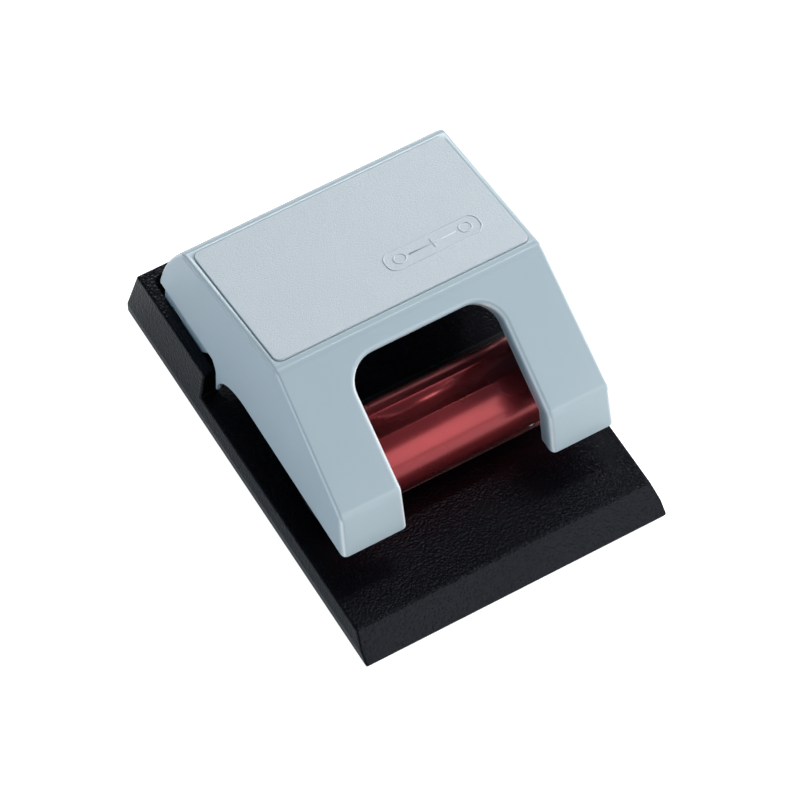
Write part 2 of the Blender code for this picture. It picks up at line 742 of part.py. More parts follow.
def guide_cutters(name, side):
    """The stepped vertical bore through tube and block: wide for the spring, narrow for the sleeve."""
    height = TUBE_TOP + LIP_OVERLAP - SLEEVE_TOP
    wide = cylinder(
        f"spring_bore_{name}",
        GUIDE_BORE,
        height,
        (side * HOLE_X, HOLE_Y, SLEEVE_TOP + height / 2),
    )
    depth = SLEEVE_TOP + LIP_OVERLAP - DECK_TOP
    narrow = cylinder(
        f"sleeve_bore_{name}",
        SLEEVE_BORE,
        depth,
        (side * HOLE_X, HOLE_Y, DECK_TOP + depth / 2),
    )
    return wide, narrow


def build_guide(side_name, side):
    """The block that plugs one end of the tube, and the steel sleeve that the pin slides in."""
    inner_end = HOLE_X - GUIDE_BORE - BLOCK_WALL
    plug = TUBE_RADIUS - TUBE_WALL - RUNNING_GAP
    flange_start = TUBE_END_FLANGE_X - END_FLANGE
    chamfer = 0.6 * MM
    profile = (
        (0.0, TUBE_END_FLANGE_X),
        (TUBE_RADIUS - END_FLANGE / 2, TUBE_END_FLANGE_X),
        (TUBE_RADIUS, flange_start + END_FLANGE / 2),
        (TUBE_RADIUS, flange_start),
        (plug, flange_start),
        (plug, inner_end + chamfer),
        (plug - chamfer, inner_end),
        (0.0, inner_end),
    )
    turn = (0.0, side * math.pi / 2, 0.0)
    centre = (0.0, HOLE_Y, TUBE_HEIGHT)
    block = turned(f"guide_block_{side_name}", profile, centre, turn, FINE, BLACK_METAL)
    cut(block, *guide_cutters(side_name + "_block", side))
    bore = PIN_RADIUS + RUNNING_GAP
    rim = GUIDE_BORE - 2 * RUNNING_GAP + 0.1 * MM
    profile = (
        (bore, SPRING_SEAT),
        (rim, SPRING_SEAT),
        (rim, SLEEVE_TOP + SEAT_GAP),
        (SLEEVE_RADIUS, SLEEVE_TOP + SEAT_GAP),
        (SLEEVE_RADIUS, SLEEVE_BOTTOM),
        (bore, SLEEVE_BOTTOM),
        (bore, SPRING_SEAT),
    )
    turned(f"guide_sleeve_{side_name}", profile, (side * HOLE_X, HOLE_Y, 0.0), material=STEEL)


# Punch pins, their collars and springs


def build_pin(side_name, side):
    """One punch pin with its domed head and hollow-ground end, and the collar under its head."""
    dome_drop = PIN_DOME_RADIUS - math.sqrt(PIN_DOME_RADIUS**2 - PIN_HEAD_RADIUS**2)
    dome_angle = math.asin(PIN_HEAD_RADIUS / PIN_DOME_RADIUS)
    dome = [
        (
            PIN_DOME_RADIUS * math.sin(dome_angle * step / 3),
            PIN_TOP - PIN_DOME_RADIUS * (1 - math.cos(dome_angle * step / 3)),
        )
        for step in range(3)
    ]
    profile = (
        *dome,
        (PIN_HEAD_RADIUS, PIN_TOP - dome_drop),
        (PIN_HEAD_RADIUS, PIN_HEAD_BOTTOM),
        (PIN_RADIUS, PIN_HEAD_BOTTOM),
        (PIN_RADIUS, PIN_REST_BOTTOM),
        (0.0, PIN_REST_BOTTOM),
    )
    centre = (side * HOLE_X, HOLE_Y, 0.0)
    pin = turned(f"punch_pin_{side_name}", profile, centre, material=STEEL)
    mouth = cylinder(
        f"pin_mouth_{side_name}",
        PIN_MOUTH_RADIUS,
        HOLE_DIAMETER * 2,
        (side * HOLE_X, HOLE_Y, PIN_REST_BOTTOM - PIN_MOUTH_RADIUS + 1.3 * MM),
        TURN_TO_X,
    )
    cut(pin, mouth)
    bore = PIN_RADIUS + RUNNING_GAP
    ring = (
        (bore, COLLAR_BOTTOM + COLLAR_THICKNESS),
        (PIN_HEAD_RADIUS, COLLAR_BOTTOM + COLLAR_THICKNESS),
        (PIN_HEAD_RADIUS, COLLAR_BOTTOM),
        (bore, COLLAR_BOTTOM),
        (bore, COLLAR_BOTTOM + COLLAR_THICKNESS),
    )
    turned(f"spring_collar_{side_name}", ring, centre, material=ZINC)


def build_spring(side_name, side):
    """The spring that lifts a pin, and with it the lever, standing on the guide sleeve."""
    radius = PIN_HEAD_RADIUS - SEAT_GAP / 2 - SPRING_WIRE / 2 - 0.05 * MM
    low = SPRING_SEAT + SEAT_GAP + SPRING_WIRE / 2
    high = COLLAR_BOTTOM - SEAT_GAP - SPRING_WIRE / 2
    per_turn = 12
    count = SPRING_TURNS * per_turn
    closed = 1.0 / SPRING_TURNS  # the share of the wire that lies nearly flat at each end
    curve = bpy.data.curves.new(f"punch_spring_{side_name}", "CURVE")
    curve.dimensions = "3D"
    curve.bevel_depth = SPRING_WIRE / 2
    curve.bevel_resolution = 1
    curve.use_fill_caps = True
    spline = curve.splines.new("POLY")
    spline.points.add(count)
    flat_rise = SPRING_WIRE * 1.15
    for i, point in enumerate(spline.points):
        share = i / count
        angle = 2 * math.pi * SPRING_TURNS * share
        if share < closed:
            height = low + flat_rise * share / closed
        elif share > 1 - closed:
            height = high - flat_rise * (1 - share) / closed
        else:
            middle = (share - closed) / (1 - 2 * closed)
            height = low + flat_rise + (high - low - 2 * flat_rise) * middle
        point.co = (radius * math.cos(angle), radius * math.sin(angle), height, 1.0)
    spring = place(bpy.data.objects.new(curve.name, curve), STEEL)
    spring.location = (side * HOLE_X, HOLE_Y, 0.0)
    return spring


# The lever: a moulded cover with two legs, its top panel and its press plates


def leg_lean():
    """How fast the leg's end face runs forward as it comes down."""
    return LEG_END_LEAN / (LEG_END_TOP - LEG_BOTTOM)


def lever_outline(low=DECK_TOP):
    """Side view of the lever, carried on down to a low level: its foot is cut to shape later."""
    rear_top = (REAR_Y - REAR_TOP_FROM_REAR, REAR_TOP_HEIGHT)
    rear_foot = (REAR_Y - REAR_FOOT_FROM_REAR, REAR_FOOT_HEIGHT)
    return [
        (FRONT_Y + LEG_FRONT - (LEG_BOTTOM - low) * leg_lean(), low),
        (FRONT_Y + LEG_FRONT + LEG_END_LEAN, LEG_END_TOP),
        (FRONT_Y + CREST_FROM_FRONT, CREST_HEIGHT),
        rear_top,
        *bowed(rear_top, rear_foot, REAR_BULGE, 5),
        rear_foot,
        (rear_foot[0] + (REAR_FOOT_HEIGHT - low) * REAR_FLARE, low),
    ]


def foot_cutter():
    """All that is under the lever's lower edge: the legs, the tongue before the rim, and the back."""
    tongue_y = RIM_FRONT_Y - TONGUE_GAP
    arch_y = tongue_y - TONGUE_TIP - ARCH_RUN
    rise = SIDE_EDGE - TONGUE_BOTTOM
    turns = [math.pi / 2 * i / 8 for i in range(9)]
    outline = [
        (FRONT_Y, -DECK_TOP),
        (REAR_Y, -DECK_TOP),
        (REAR_Y, SIDE_EDGE),
        (tongue_y + TONGUE_HEEL, SIDE_EDGE),
        (tongue_y + TONGUE_HEEL * 0.3, SIDE_EDGE - TONGUE_HEEL),
        (tongue_y, SIDE_EDGE - TONGUE_HEEL * 2),
        (tongue_y, TONGUE_BOTTOM),
        *[(arch_y + ARCH_RUN * math.cos(a), TONGUE_BOTTOM + rise * math.sin(a)) for a in turns],
        (FRONT_Y + LEG_FRONT + LEG_END_LEAN, LEG_BOTTOM),
        (FRONT_Y, LEG_BOTTOM),
    ]
    return slab("lever_foot_cut", outline, BASE_WIDTH * 2, (0.0, 0.0, 0.0))


def slope_frame():
    """(point, unit vector down the slope to the front, unit vector into the lever) in Y and Z."""
    crest = Vector((FRONT_Y + CREST_FROM_FRONT, CREST_HEIGHT))
    knee = Vector((FRONT_Y + LEG_FRONT + LEG_END_LEAN, LEG_END_TOP))
    down = (knee - crest).normalized()
    inward = Vector((-down.y, down.x))
    along = (FRONT_Y + WINDOW_TOP - crest.x) / down.x
    return crest + down * along, down, inward


def top_frame():
    """(crest point, unit vector to the back, unit vector out of the top) in Y and Z."""
    crest = Vector((FRONT_Y + CREST_FROM_FRONT, CREST_HEIGHT))
    rear = Vector((REAR_Y - REAR_TOP_FROM_REAR, REAR_TOP_HEIGHT))
    back = (rear - crest).normalized()
    return crest, back, Vector((-back.y, back.x))


def drafted(obj, wall=0.0):
    """Leans the two sides of a lever-shaped slab in towards the top."""
    for vert in obj.data.vertices:
        height = (obj.matrix_world @ vert.co).z
        vert.co.z = math.copysign(lever_half(height) - wall, vert.co.z)
    return obj


def sloped(origin, along, out):
    """The matrix of a plane whose X is the model's X, and whose Y runs along a direction in Y and Z."""
    columns = (Vector((1, 0, 0)), Vector((0, along.x, along.y)), Vector((0, out.x, out.y)))
    matrix = Matrix(columns).transposed().to_4x4()
    matrix.translation = (0.0, origin.x, origin.y)
    return matrix


def window_outline(grow, reach_down):
    """The window in the slope's own plane: open at the bottom, with round top corners.

    X is across, and Y runs down the slope from the window's top edge."""
    half = WINDOW_WIDTH / 2 + grow
    radius = WINDOW_CORNER + grow
    top = -grow
    corner_y = top + radius
    left = arc((-half + radius, corner_y), radius, math.pi, 1.5 * math.pi, 6)
    right = arc((half - radius, corner_y), radius, -0.5 * math.pi, 0.0, 6)
    return [(half, reach_down), (-half, reach_down), *left, *right]


def window_slab(name, grow, reach_down, low, high):
    """The window's outline, from low to high along the direction into the lever."""
    origin, down, inward = slope_frame()
    middle = origin + inward * (low + high) / 2
    obj = slab(name, window_outline(grow, reach_down), high - low, (0, 0, 0), UPRIGHT)
    obj.matrix_world = sloped(middle, down, inward)
    return obj


def leave_window_wall(hollow):
    """Takes the wall round the window out of the hollow, along the slope and down the leg ends."""
    reach = CREST_FROM_FRONT
    cut(hollow, window_slab("slope_collar", LEVER_WALL, reach, -LEVER_WALL, FLANGE_DEPTH))
    foot, knee = lever_outline(-DECK_TOP)[:2]
    inward = Vector((LEG_END_TOP + DECK_TOP, foot[0] - knee[0])).normalized() * FLANGE_DEPTH
    outline = [foot, knee, tuple(Vector(knee) + inward), tuple(Vector(foot) + inward)]
    return cut(hollow, slab("leg_collar", outline, WINDOW_WIDTH + 2 * LEVER_WALL, (0.0, 0.0, 0.0)))


def ear_outline():
    """The ear that carries the bush, with a heel that stops the lever when it is up."""
    swing = PIVOT_HEIGHT - PAN_FLOOR_TOP - EAR_SWING_CLEARANCE
    chin = (PIVOT_Y - swing * math.sin(EAR_CHIN_ANGLE), PIVOT_HEIGHT - swing * math.cos(EAR_CHIN_ANGLE))
    heel_z = PAN_FLOOR_TOP + SEAT_GAP
    heel_y = PIVOT_Y + PIVOT_FROM_REAR / 2 - SEAT_GAP
    top = SIDE_EDGE + EAR_OVERLAP
    rear = REAR_Y - REAR_FOOT_FROM_REAR
    return [
        (rear - 3.5 * MM, top),
        (RIM_FRONT_Y + EAR_SETBACK, top),
        (RIM_FRONT_Y + EAR_SETBACK, SIDE_EDGE - 3 * MM),
        chin,
        (PIVOT_Y, heel_z),
        (heel_y, heel_z),
        (rear - LEVER_WALL / 2, REAR_FOOT_HEIGHT),
    ]


def build_lever_cover():
    outline = lever_outline()
    cover = slab("lever_cover", outline, LEVER_FOOT_HALF * 2, (0, 0, 0), material=BLUE_PLASTIC)
    round_edges(drafted(cover), LEVER_EDGE_ROUND)
    walls = [LEVER_WALL] * (len(outline) - 1) + [-2 * LEVER_WALL]
    hollow = slab("lever_hollow", inset(outline, walls), LEVER_FOOT_HALF * 2, (0, 0, 0))
    cut(cover, leave_window_wall(drafted(hollow, LEVER_WALL)), foot_cutter())
    window = window_slab("window", 0.0, CREST_FROM_FRONT * 2, -CREST_HEIGHT / 2, FLANGE_DEPTH * 6)
    cut(cover, window)
    for side_name, side in SIDES:
        add_ear(cover, side_name, side)
        add_press_bosses(cover, side_name, side)
    crest, back, out = top_frame()
    middle = crest + out * (LIP_OVERLAP / 2 - PANEL_POCKET / 2)
    depth = PANEL_POCKET + LIP_OVERLAP
    pocket = slab("panel_pocket", panel_outline(SEAT_GAP), depth, (0, 0, 0), UPRIGHT)
    pocket.matrix_world = sloped(middle, back, out)
    return cut(cover, pocket)


def add_ear(cover, side_name, side):
    """Joins an ear to the inside of a side wall and bores its eye."""
    centre_x = side * (EAR_OUTER - EAR_THICKNESS / 2)
    eye = cylinder(
        f"ear_eye_{side_name}",
        SHAFT_RADIUS + RUNNING_GAP + BUSH_WALL + RUNNING_GAP,
        EAR_THICKNESS * 3,
        (centre_x, PIVOT_Y, PIVOT_HEIGHT),
        TURN_TO_X,
    )
    join(cover, slab(f"ear_{side_name}", ear_outline(), EAR_THICKNESS, (centre_x, 0.0, 0.0)))
    cut(cover, eye)


def add_press_bosses(cover, side_name, side):
    """Two bosses under the slope that a press plate is screwed to."""
    for i, (x, y) in enumerate(press_boss_places(side)):
        bottom = press_underside(y) + PRESS_PLATE_THICKNESS + 2 * SEAT_GAP
        surface = LEG_END_TOP + (y - FRONT_Y - LEG_FRONT - LEG_END_LEAN) * slope_rate()
        top = surface - LEVER_WALL * 0.9
        centre = (x, y, (top + bottom) / 2)
        turn = (math.pi + press_plate_turn(), 0.0, 0.0)
        name = f"{side_name}_{i}"
        join(cover, cylinder(f"press_boss_{name}", PRESS_BOSS_RADIUS, top - bottom, centre, sides=SMALL))
        cut(cover, screw_hole(f"boss_thread_{name}", press_screw_head(x), 8.0 * MM, turn))


def slope_rate():
    """How fast the lever's slope rises towards the crest."""
    run = CREST_FROM_FRONT - LEG_FRONT - LEG_END_LEAN
    return (CREST_HEIGHT - LEG_END_TOP) / run


def panel_outline(grow=0.0):
    """The top panel in the top's own plane: X across, and Y to the back from the crest."""
    crest, back, _ = top_frame()
    rear = Vector((REAR_Y - REAR_TOP_FROM_REAR, REAR_TOP_HEIGHT))
    length = (rear - crest).length
    half = lever_half(CREST_HEIGHT) - PANEL_MARGIN + grow
    low = (-half, PANEL_MARGIN * 1.2 - grow)
    high = (half, length - PANEL_MARGIN * 1.2 + grow)
    return rounded_rectangle(low, high, PANEL_CORNER + grow)


def build_top_panel():
    crest, back, out = top_frame()
    middle = crest + out * (-PANEL_POCKET + SEAT_GAP + PANEL_THICKNESS / 2)
    panel = slab("top_panel", panel_outline(), PANEL_THICKNESS, (0, 0, 0), UPRIGHT, PANEL_PLASTIC)
    panel.matrix_world = sloped(middle, back, out)
    return panel


def press_plate_turn():
    """The press plate's turn about X at rest: its front is up."""
    return -PRESS_TILT


def press_underside(y):
    """Height of the press plate's underside at a place along the depth."""
    return PRESS_CONTACT - (y - HOLE_Y) * math.tan(PRESS_TILT)


def press_boss_places(side):
    middle = side * (HOLE_X - 1.5 * MM)
    y = HOLE_Y + PRESS_BOSS_BACK
    return [(middle + step * PRESS_SCREW_PITCH / 2, y) for step in (-1, 1)]


def press_screw_head(x):
    """The middle of a press screw's head, below the plate."""
    y = HOLE_Y + PRESS_BOSS_BACK
    drop = SCREW_HEAD_HEIGHT + SEAT_GAP
    height = press_underside(y) - drop / math.cos(PRESS_TILT)
    return (x, y - math.sin(PRESS_TILT) * drop, height)


def build_press_plate(side_name, side):
    """The steel plate that pushes a pin down, screwed up into two bosses of the cover."""
    plate = box(
        f"press_plate_{side_name}",
        (-PRESS_PLATE_WIDTH / 2, -PRESS_PLATE_FRONT, 0.0),
        (PRESS_PLATE_WIDTH / 2, PRESS_PLATE_BACK, PRESS_PLATE_THICKNESS),
        STEEL,
    )
    frame = Matrix.Translation((side * (HOLE_X - 1.5 * MM), HOLE_Y, PRESS_CONTACT))
    plate.matrix_world = frame @ Matrix.Rotation(press_plate_turn(), 4, "X") @ plate.matrix_basis
    round_edges(plate, 0.4 * MM, 1)
    for i, (x, _) in enumerate(press_boss_places(side)):
        turn = (math.pi + press_plate_turn(), 0.0, 0.0)
        head = press_screw_head(x)
        cut(plate, screw_hole(f"press_hole_{side_name}_{i}", head, 6.0 * MM, turn))
        screw(f"press_screw_{side_name}_{i + 1}", head, 6.5 * MM, turn)
    return plate


# The pivot: bracket, shaft, clips and bushes


def build_bracket():
    """The folded steel bracket on the pan's floor: a plate with two upright cheeks."""
    half = EAR_INNER - BRACKET_CLEARANCE
    bottom = PAN_FLOOR_TOP + SEAT_GAP
    top = PIVOT_HEIGHT
    outline = [
        (-half, bottom),
        (half, bottom),
        (half, top),
        (half - BRACKET_SHEET, top),
        (half - BRACKET_SHEET, bottom + BRACKET_SHEET),
        (-half + BRACKET_SHEET, bottom + BRACKET_SHEET),
        (-half + BRACKET_SHEET, top),
        (-half, top),
    ]
    bracket = slab(
        "pivot_bracket", outline, BRACKET_DEPTH, (0.0, PIVOT_Y, 0.0), TURN_TO_Y, BLACK_METAL
    )
    for side_name, side in SIDES:
        centre = (side * (half - BRACKET_SHEET / 2), PIVOT_Y, PIVOT_HEIGHT)
        trim = BRACKET_DEPTH / 2 - BRACKET_EYE
        for end in (-1, 1):
            y = PIVOT_Y + end * (BRACKET_EYE + trim / 2 + LIP_OVERLAP / 2)
            corner = box(
                f"bracket_trim_{side_name}_{end}",
                (centre[0] - BRACKET_SHEET, y - trim / 2 - LIP_OVERLAP / 2, bottom + 2 * BRACKET_SHEET),
                (centre[0] + BRACKET_SHEET, y + trim / 2 + LIP_OVERLAP, top + LIP_OVERLAP),
            )
            cut(bracket, corner)
        eye = cylinder(f"bracket_eye_{side_name}", BRACKET_EYE, BRACKET_SHEET, centre, TURN_TO_X)
        join(bracket, eye)
        bore = cylinder(
            f"bracket_bore_{side_name}",
            SHAFT_RADIUS + RUNNING_GAP,
            BRACKET_SHEET * 3,
            centre,
            TURN_TO_X,
        )
        cut(bracket, bore)
    plate_top = bottom + BRACKET_SHEET
    for i, (x, y) in enumerate(bracket_screw_places()):
        head = (x, y, plate_top + SEAT_GAP + SCREW_HEAD_HEIGHT)
        cut(bracket, screw_hole(f"bracket_screw_hole_{i}", head, 6.0 * MM))
        screw(f"bracket_screw_{i + 1}", head, 5.2 * MM)
    return bracket


def clip_x():
    """The middle of a shaft clip, just inside a bracket cheek."""
    cheek = EAR_INNER - BRACKET_CLEARANCE - BRACKET_SHEET
    return cheek - SEAT_GAP - CLIP_THICKNESS / 2


def build_shaft():
    """The pivot shaft with a groove for each clip."""
    half = EAR_OUTER - SEAT_GAP
    chamfer = 0.5 * MM
    groove = CLIP_THICKNESS / 2 + SEAT_GAP / 2
    bottom = SHAFT_RADIUS - SHAFT_GROOVE
    x = clip_x()
    upper = [
        (0.0, half),
        (SHAFT_RADIUS - chamfer, half),
        (SHAFT_RADIUS, half - chamfer),
        (SHAFT_RADIUS, x + groove),
        (bottom, x + groove),
        (bottom, x - groove),
        (SHAFT_RADIUS, x - groove),
    ]
    profile = upper + [(radius, -height) for radius, height in reversed(upper)]
    turned("pivot_shaft", profile, (0.0, PIVOT_Y, PIVOT_HEIGHT), TURN_TO_X, ROUND, STEEL)


def build_clip(side_name, side):
    """A spring clip in the shaft's groove: a flat ring with an open mouth."""
    inner = SHAFT_RADIUS - SHAFT_GROOVE + RUNNING_GAP / 2
    outer = SHAFT_RADIUS + 2.0 * MM
    mouth = math.radians(40.0)
    start, end = math.pi / 2 + mouth, 2.5 * math.pi - mouth
    outline = arc((0, 0), outer, start, end, 14) + arc((0, 0), inner, end, start, 14)
    centre = (side * clip_x(), PIVOT_Y, PIVOT_HEIGHT)
    slab(f"shaft_clip_{side_name}", outline, CLIP_THICKNESS, centre, ALONG_X, STEEL)


def build_bush(side_name, side):
    """The flanged nylon bush that a lever ear turns on."""
    bore = SHAFT_RADIUS + RUNNING_GAP
    outer = bore + BUSH_WALL
    flange_end = EAR_INNER - SEAT_GAP
    profile = (
        (bore, EAR_OUTER - RUNNING_GAP),
        (outer, EAR_OUTER - RUNNING_GAP),
        (outer, flange_end),
        (outer + 1.6 * MM, flange_end),
        (outer + 1.6 * MM, flange_end - BUSH_FLANGE),
        (bore, flange_end - BUSH_FLANGE),
        (bore, EAR_OUTER - RUNNING_GAP),
    )
    turn = (0.0, side * math.pi / 2, 0.0)
    turned(f"lever_bush_{side_name}", profile, (0, PIVOT_Y, PIVOT_HEIGHT), turn, ROUND, NYLON)


# The chip tray and the feet


def build_chip_tray():
    half = TRAY_SPACE_HALF - TRAY_SIDE_GAP
    rear = TRAY_SPACE_REAR_Y - TRAY_HINGE_SETBACK + 1.5 * MM
    front = bevel_underside(TRAY_BOTTOM + TRAY_FLOOR) + TRAY_SIDE_GAP
    wall_front = FRONT_Y + TRAY_FRONT_WALL
    top = DECK_UNDERSIDE - 2 * TRAY_SIDE_GAP
    tray = box(
        "chip_tray",
        (-half, front, TRAY_BOTTOM),
        (half, rear, TRAY_BOTTOM + TRAY_FLOOR),
        BLACK_PLASTIC,
    )
    body = box("tray_body", (-half, wall_front, TRAY_BOTTOM + TRAY_FLOOR / 2), (half, rear, top))
    well = box(
        "tray_well",
        (-half + TRAY_WALL, wall_front + TRAY_WALL, TRAY_BOTTOM + TRAY_FLOOR),
        (half - TRAY_WALL, rear - TRAY_WALL, top + LIP_OVERLAP),
    )
    cut(join(tray, body), well)
    scoop = cylinder(
        "finger_scoop",
        9.0 * MM,
        24.0 * MM,
        (0.0, front + 2.0 * MM, TRAY_BOTTOM - 9.0 * MM + 0.8 * MM),
        TURN_TO_X,
    )
    cut(tray, scoop)
    for side_name, side in SIDES:
        stub = cylinder(
            f"hinge_stub_{side_name}",
            TRAY_STUB_RADIUS,
            TRAY_STUB_LENGTH + LIP_OVERLAP,
            (
                side * (half + (TRAY_STUB_LENGTH - LIP_OVERLAP) / 2),
                TRAY_HINGE_Y,
                TRAY_HINGE_HEIGHT,
            ),
            TURN_TO_X,
            SMALL,
        )
        x, y = foot_place(side, FRONT_Y + FRONT_FOOT)
        recess = foot_recess(f"front_foot_recess_{side_name}", x, y, TRAY_BOTTOM)
        cut(join(tray, stub), recess)
    return tray


def build_foot(name, x, y, seat):
    """A rubber foot in its recess: its rim is round, and its face is on the table."""
    top = seat + FOOT_RECESS - SEAT_GAP
    edge = 0.3 * MM
    profile = (
        (0.0, top),
        (FOOT_RADIUS, top),
        (FOOT_RADIUS, edge),
        (FOOT_RADIUS - edge, 0.0),
        (0.0, 0.0),
    )
    turned(name, profile, (x, y, 0.0), sides=24, material=RUBBER)


def build():
    build_base_housing()
    build_die_plate()
    build_saddle()
    build_tube()
    build_lever_cover()
    build_top_panel()
    build_bracket()
    build_shaft()
    build_chip_tray()
    for side_name, side in SIDES:
        build_guide(side_name, side)
        build_pin(side_name, side)
        build_spring(side_name, side)
        build_press_plate(side_name, side)
        build_clip(side_name, side)
        build_bush(side_name, side)
        build_foot(f"foot_front_{side_name}", *foot_place(side, FRONT_Y + FRONT_FOOT), TRAY_BOTTOM)
        build_foot(f"foot_rear_{side_name}", *foot_place(side, REAR_Y - REAR_FOOT), PAN_FLOOR_BOTTOM)


build()
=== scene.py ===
# %% [markdown]
# # A desk hole punch, one piece at a time
#
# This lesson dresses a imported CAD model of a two-hole punch. The CAD model says where each
# part is and how it moves. Here each part gets the shape and the surface that the eye expects:
# soft moulded edges, grained plastic, deep red lacquer, ground steel.
#
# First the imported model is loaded. It is the frame that every new piece is built round.

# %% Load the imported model
import math

import bmesh
import bpy
from mathutils import Matrix, Vector


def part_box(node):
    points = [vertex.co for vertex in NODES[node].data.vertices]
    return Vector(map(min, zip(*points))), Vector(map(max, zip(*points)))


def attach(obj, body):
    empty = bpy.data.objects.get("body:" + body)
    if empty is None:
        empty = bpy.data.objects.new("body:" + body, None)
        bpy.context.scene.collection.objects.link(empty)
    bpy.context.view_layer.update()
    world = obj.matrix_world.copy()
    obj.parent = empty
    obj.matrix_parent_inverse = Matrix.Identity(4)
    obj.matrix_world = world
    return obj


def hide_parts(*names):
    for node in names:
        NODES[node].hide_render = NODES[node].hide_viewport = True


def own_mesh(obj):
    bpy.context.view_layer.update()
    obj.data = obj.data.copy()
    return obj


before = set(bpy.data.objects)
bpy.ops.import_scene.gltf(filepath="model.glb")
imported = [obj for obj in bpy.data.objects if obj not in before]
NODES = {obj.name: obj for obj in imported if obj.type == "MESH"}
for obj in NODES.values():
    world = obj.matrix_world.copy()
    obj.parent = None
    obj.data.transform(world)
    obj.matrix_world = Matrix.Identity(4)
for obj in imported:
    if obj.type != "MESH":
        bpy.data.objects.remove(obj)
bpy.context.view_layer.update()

MM = 0.001
SIDES = (("left", -1), ("right", 1))

# %% [markdown]
# ## Places taken from the frame
#
# A new piece has to sit exactly where the CAD piece sits. So the base, the round housing, the
# pins and the pivot are measured on the loaded nodes. Points of the side view are written in
# millimetres: along the depth from the base's front edge, and up from the table.

# %% Measure the frame
def middle_of(node):
    """The middle of a CAD node's box at rest."""
    low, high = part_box(node)
    return (low + high) / 2


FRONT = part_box("base_housing")[0].y
TUBE_LOW, TUBE_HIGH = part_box("punch_tube")
TUBE_CENTRE = middle_of("punch_tube")
TUBE_RADIUS = (TUBE_HIGH.z - TUBE_LOW.z) / 2
PIVOT = middle_of("pivot_shaft")
PIN_X = middle_of("punch_pin_right").x
print("tube radius", round(TUBE_RADIUS / MM, 2), "mm, pivot", [round(v / MM, 1) for v in PIVOT])


def at(y_mm, z_mm):
    """A point of the side view, as (Y, Z) in metres in the model's frame."""
    return Vector((FRONT + y_mm * MM, z_mm * MM))


# %% [markdown]
# ## Small building tools
#
# Most pieces here start as a short list of points. `mesh_piece` turns points and faces into an
# object, and `prism` gives an outline a thickness. Plain points and faces are chosen over
# ready-made shapes because every corner then lies where the real part has one.

# %% Pieces from points
def mesh_piece(name, points, faces):
    """A new object from points and faces, with its faces turned outward."""
    mesh = bpy.data.meshes.new(name)
    mesh.from_pydata([tuple(p) for p in points], [], faces)
    mesh.update()
    obj = bpy.data.objects.new(name, mesh)
    bpy.context.scene.collection.objects.link(obj)
    mesh.shade_smooth()
    return obj


def object_from(shape, name):
    """A new object from a bmesh, which is freed."""
    mesh = bpy.data.meshes.new(name)
    shape.to_mesh(mesh)
    shape.free()
    obj = bpy.data.objects.new(name, mesh)
    bpy.context.scene.collection.objects.link(obj)
    mesh.shade_smooth()
    return obj


def face_outward(obj):
    """Turns all faces of a closed mesh to the outside."""
    shape = bmesh.new()
    shape.from_mesh(obj.data)
    bmesh.ops.recalc_face_normals(shape, faces=shape.faces)
    shape.to_mesh(obj.data)
    shape.free()
    return obj


def prism(name, outline, low, high, place):
    """An outline given a thickness from low to high. place puts (u, v, w) into the model."""
    count = len(outline)
    points = [place(u, v, w) for w in (low, high) for u, v in outline]
    sides = [(i, (i + 1) % count, (i + 1) % count + count, i + count) for i in range(count)]
    ends = [tuple(reversed(range(count))), tuple(range(count, 2 * count))]
    return face_outward(mesh_piece(name, points, sides + ends))


print("tools for points and faces: mesh_piece, object_from, face_outward, prism")

# %% [markdown]
# `soften` rounds the edges with a Bevel modifier and then evens out the shading with a Weighted
# Normal modifier, so that big faces stay flat and only the rounded edges catch light.
# `finish_piece` is the last step of each new piece: its paint, the CAD nodes that it stands for,
# and the body that it moves with. `arc` gives the points of every round outline.

# %% Edges, finish and arcs
def soften(obj, width, segments, angle):
    """Rounded edges, where faces meet at more than the angle in degrees, and even shading."""
    bevel = obj.modifiers.new("soft_edges", "BEVEL")
    bevel.width = width
    bevel.segments = segments
    bevel.limit_method = "ANGLE"
    bevel.angle_limit = math.radians(angle)
    obj.modifiers.new("even_shading", "WEIGHTED_NORMAL").keep_sharp = True
    return obj


def finish_piece(obj, material, body, slot_name, *nodes):
    """Paints a piece, hides the CAD nodes it stands for, and lets it ride on its body."""
    obj.data.materials.clear()
    obj.data.materials.append(material)
    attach(obj, body)
    if nodes:
        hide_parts(*nodes)
    return obj


def arc(centre, radius, start, end, steps):
    """Points on an arc between two angles in degrees, both ends included."""
    turns = [math.radians(start + (end - start) * i / steps) for i in range(steps + 1)]
    return [Vector((centre[0] + radius * math.cos(a), centre[1] + radius * math.sin(a))) for a in turns]


print("a quarter arc in 4 steps has", len(arc((0.0, 0.0), MM, 0, 90, 4)), "points")


# %% [markdown]
# ## Effects shared by several finishes
#
# Real plastic and metal are never one flat colour. Three effects come back in every material
# here, so each is a shader node group that is built once: grain, rubbed edges and uneven tone.
# A fourth, a painted highlight line along the rounded corners, is made the same way for the cover alone.
#
# A group gives out only masks and values. The shader itself stays in each material. `add` makes
# a node and feeds its inputs in one line, which keeps the wiring readable.

# %% Tools for node groups
def new_group(name, inputs, outputs):
    """An empty node group with number inputs and number outputs."""
    group = bpy.data.node_groups.new(name, "ShaderNodeTree")
    for label, value in inputs:
        socket = group.interface.new_socket(label, in_out="INPUT", socket_type="NodeSocketFloat")
        socket.default_value = value
    for label in outputs:
        group.interface.new_socket(label, in_out="OUTPUT", socket_type="NodeSocketFloat")
    return group, group.nodes.new("NodeGroupInput"), group.nodes.new("NodeGroupOutput")


def add(tree, kind, links=(), **settings):
    """Adds a node, sets its properties, and feeds its inputs by name or by number."""
    node = tree.nodes.new(kind)
    for key, value in settings.items():
        setattr(node, key, value)
    for socket, source in dict(links).items():
        target = node.inputs[socket]
        if isinstance(source, bpy.types.NodeSocket):
            tree.links.new(source, target)
        else:
            target.default_value = source
    return node


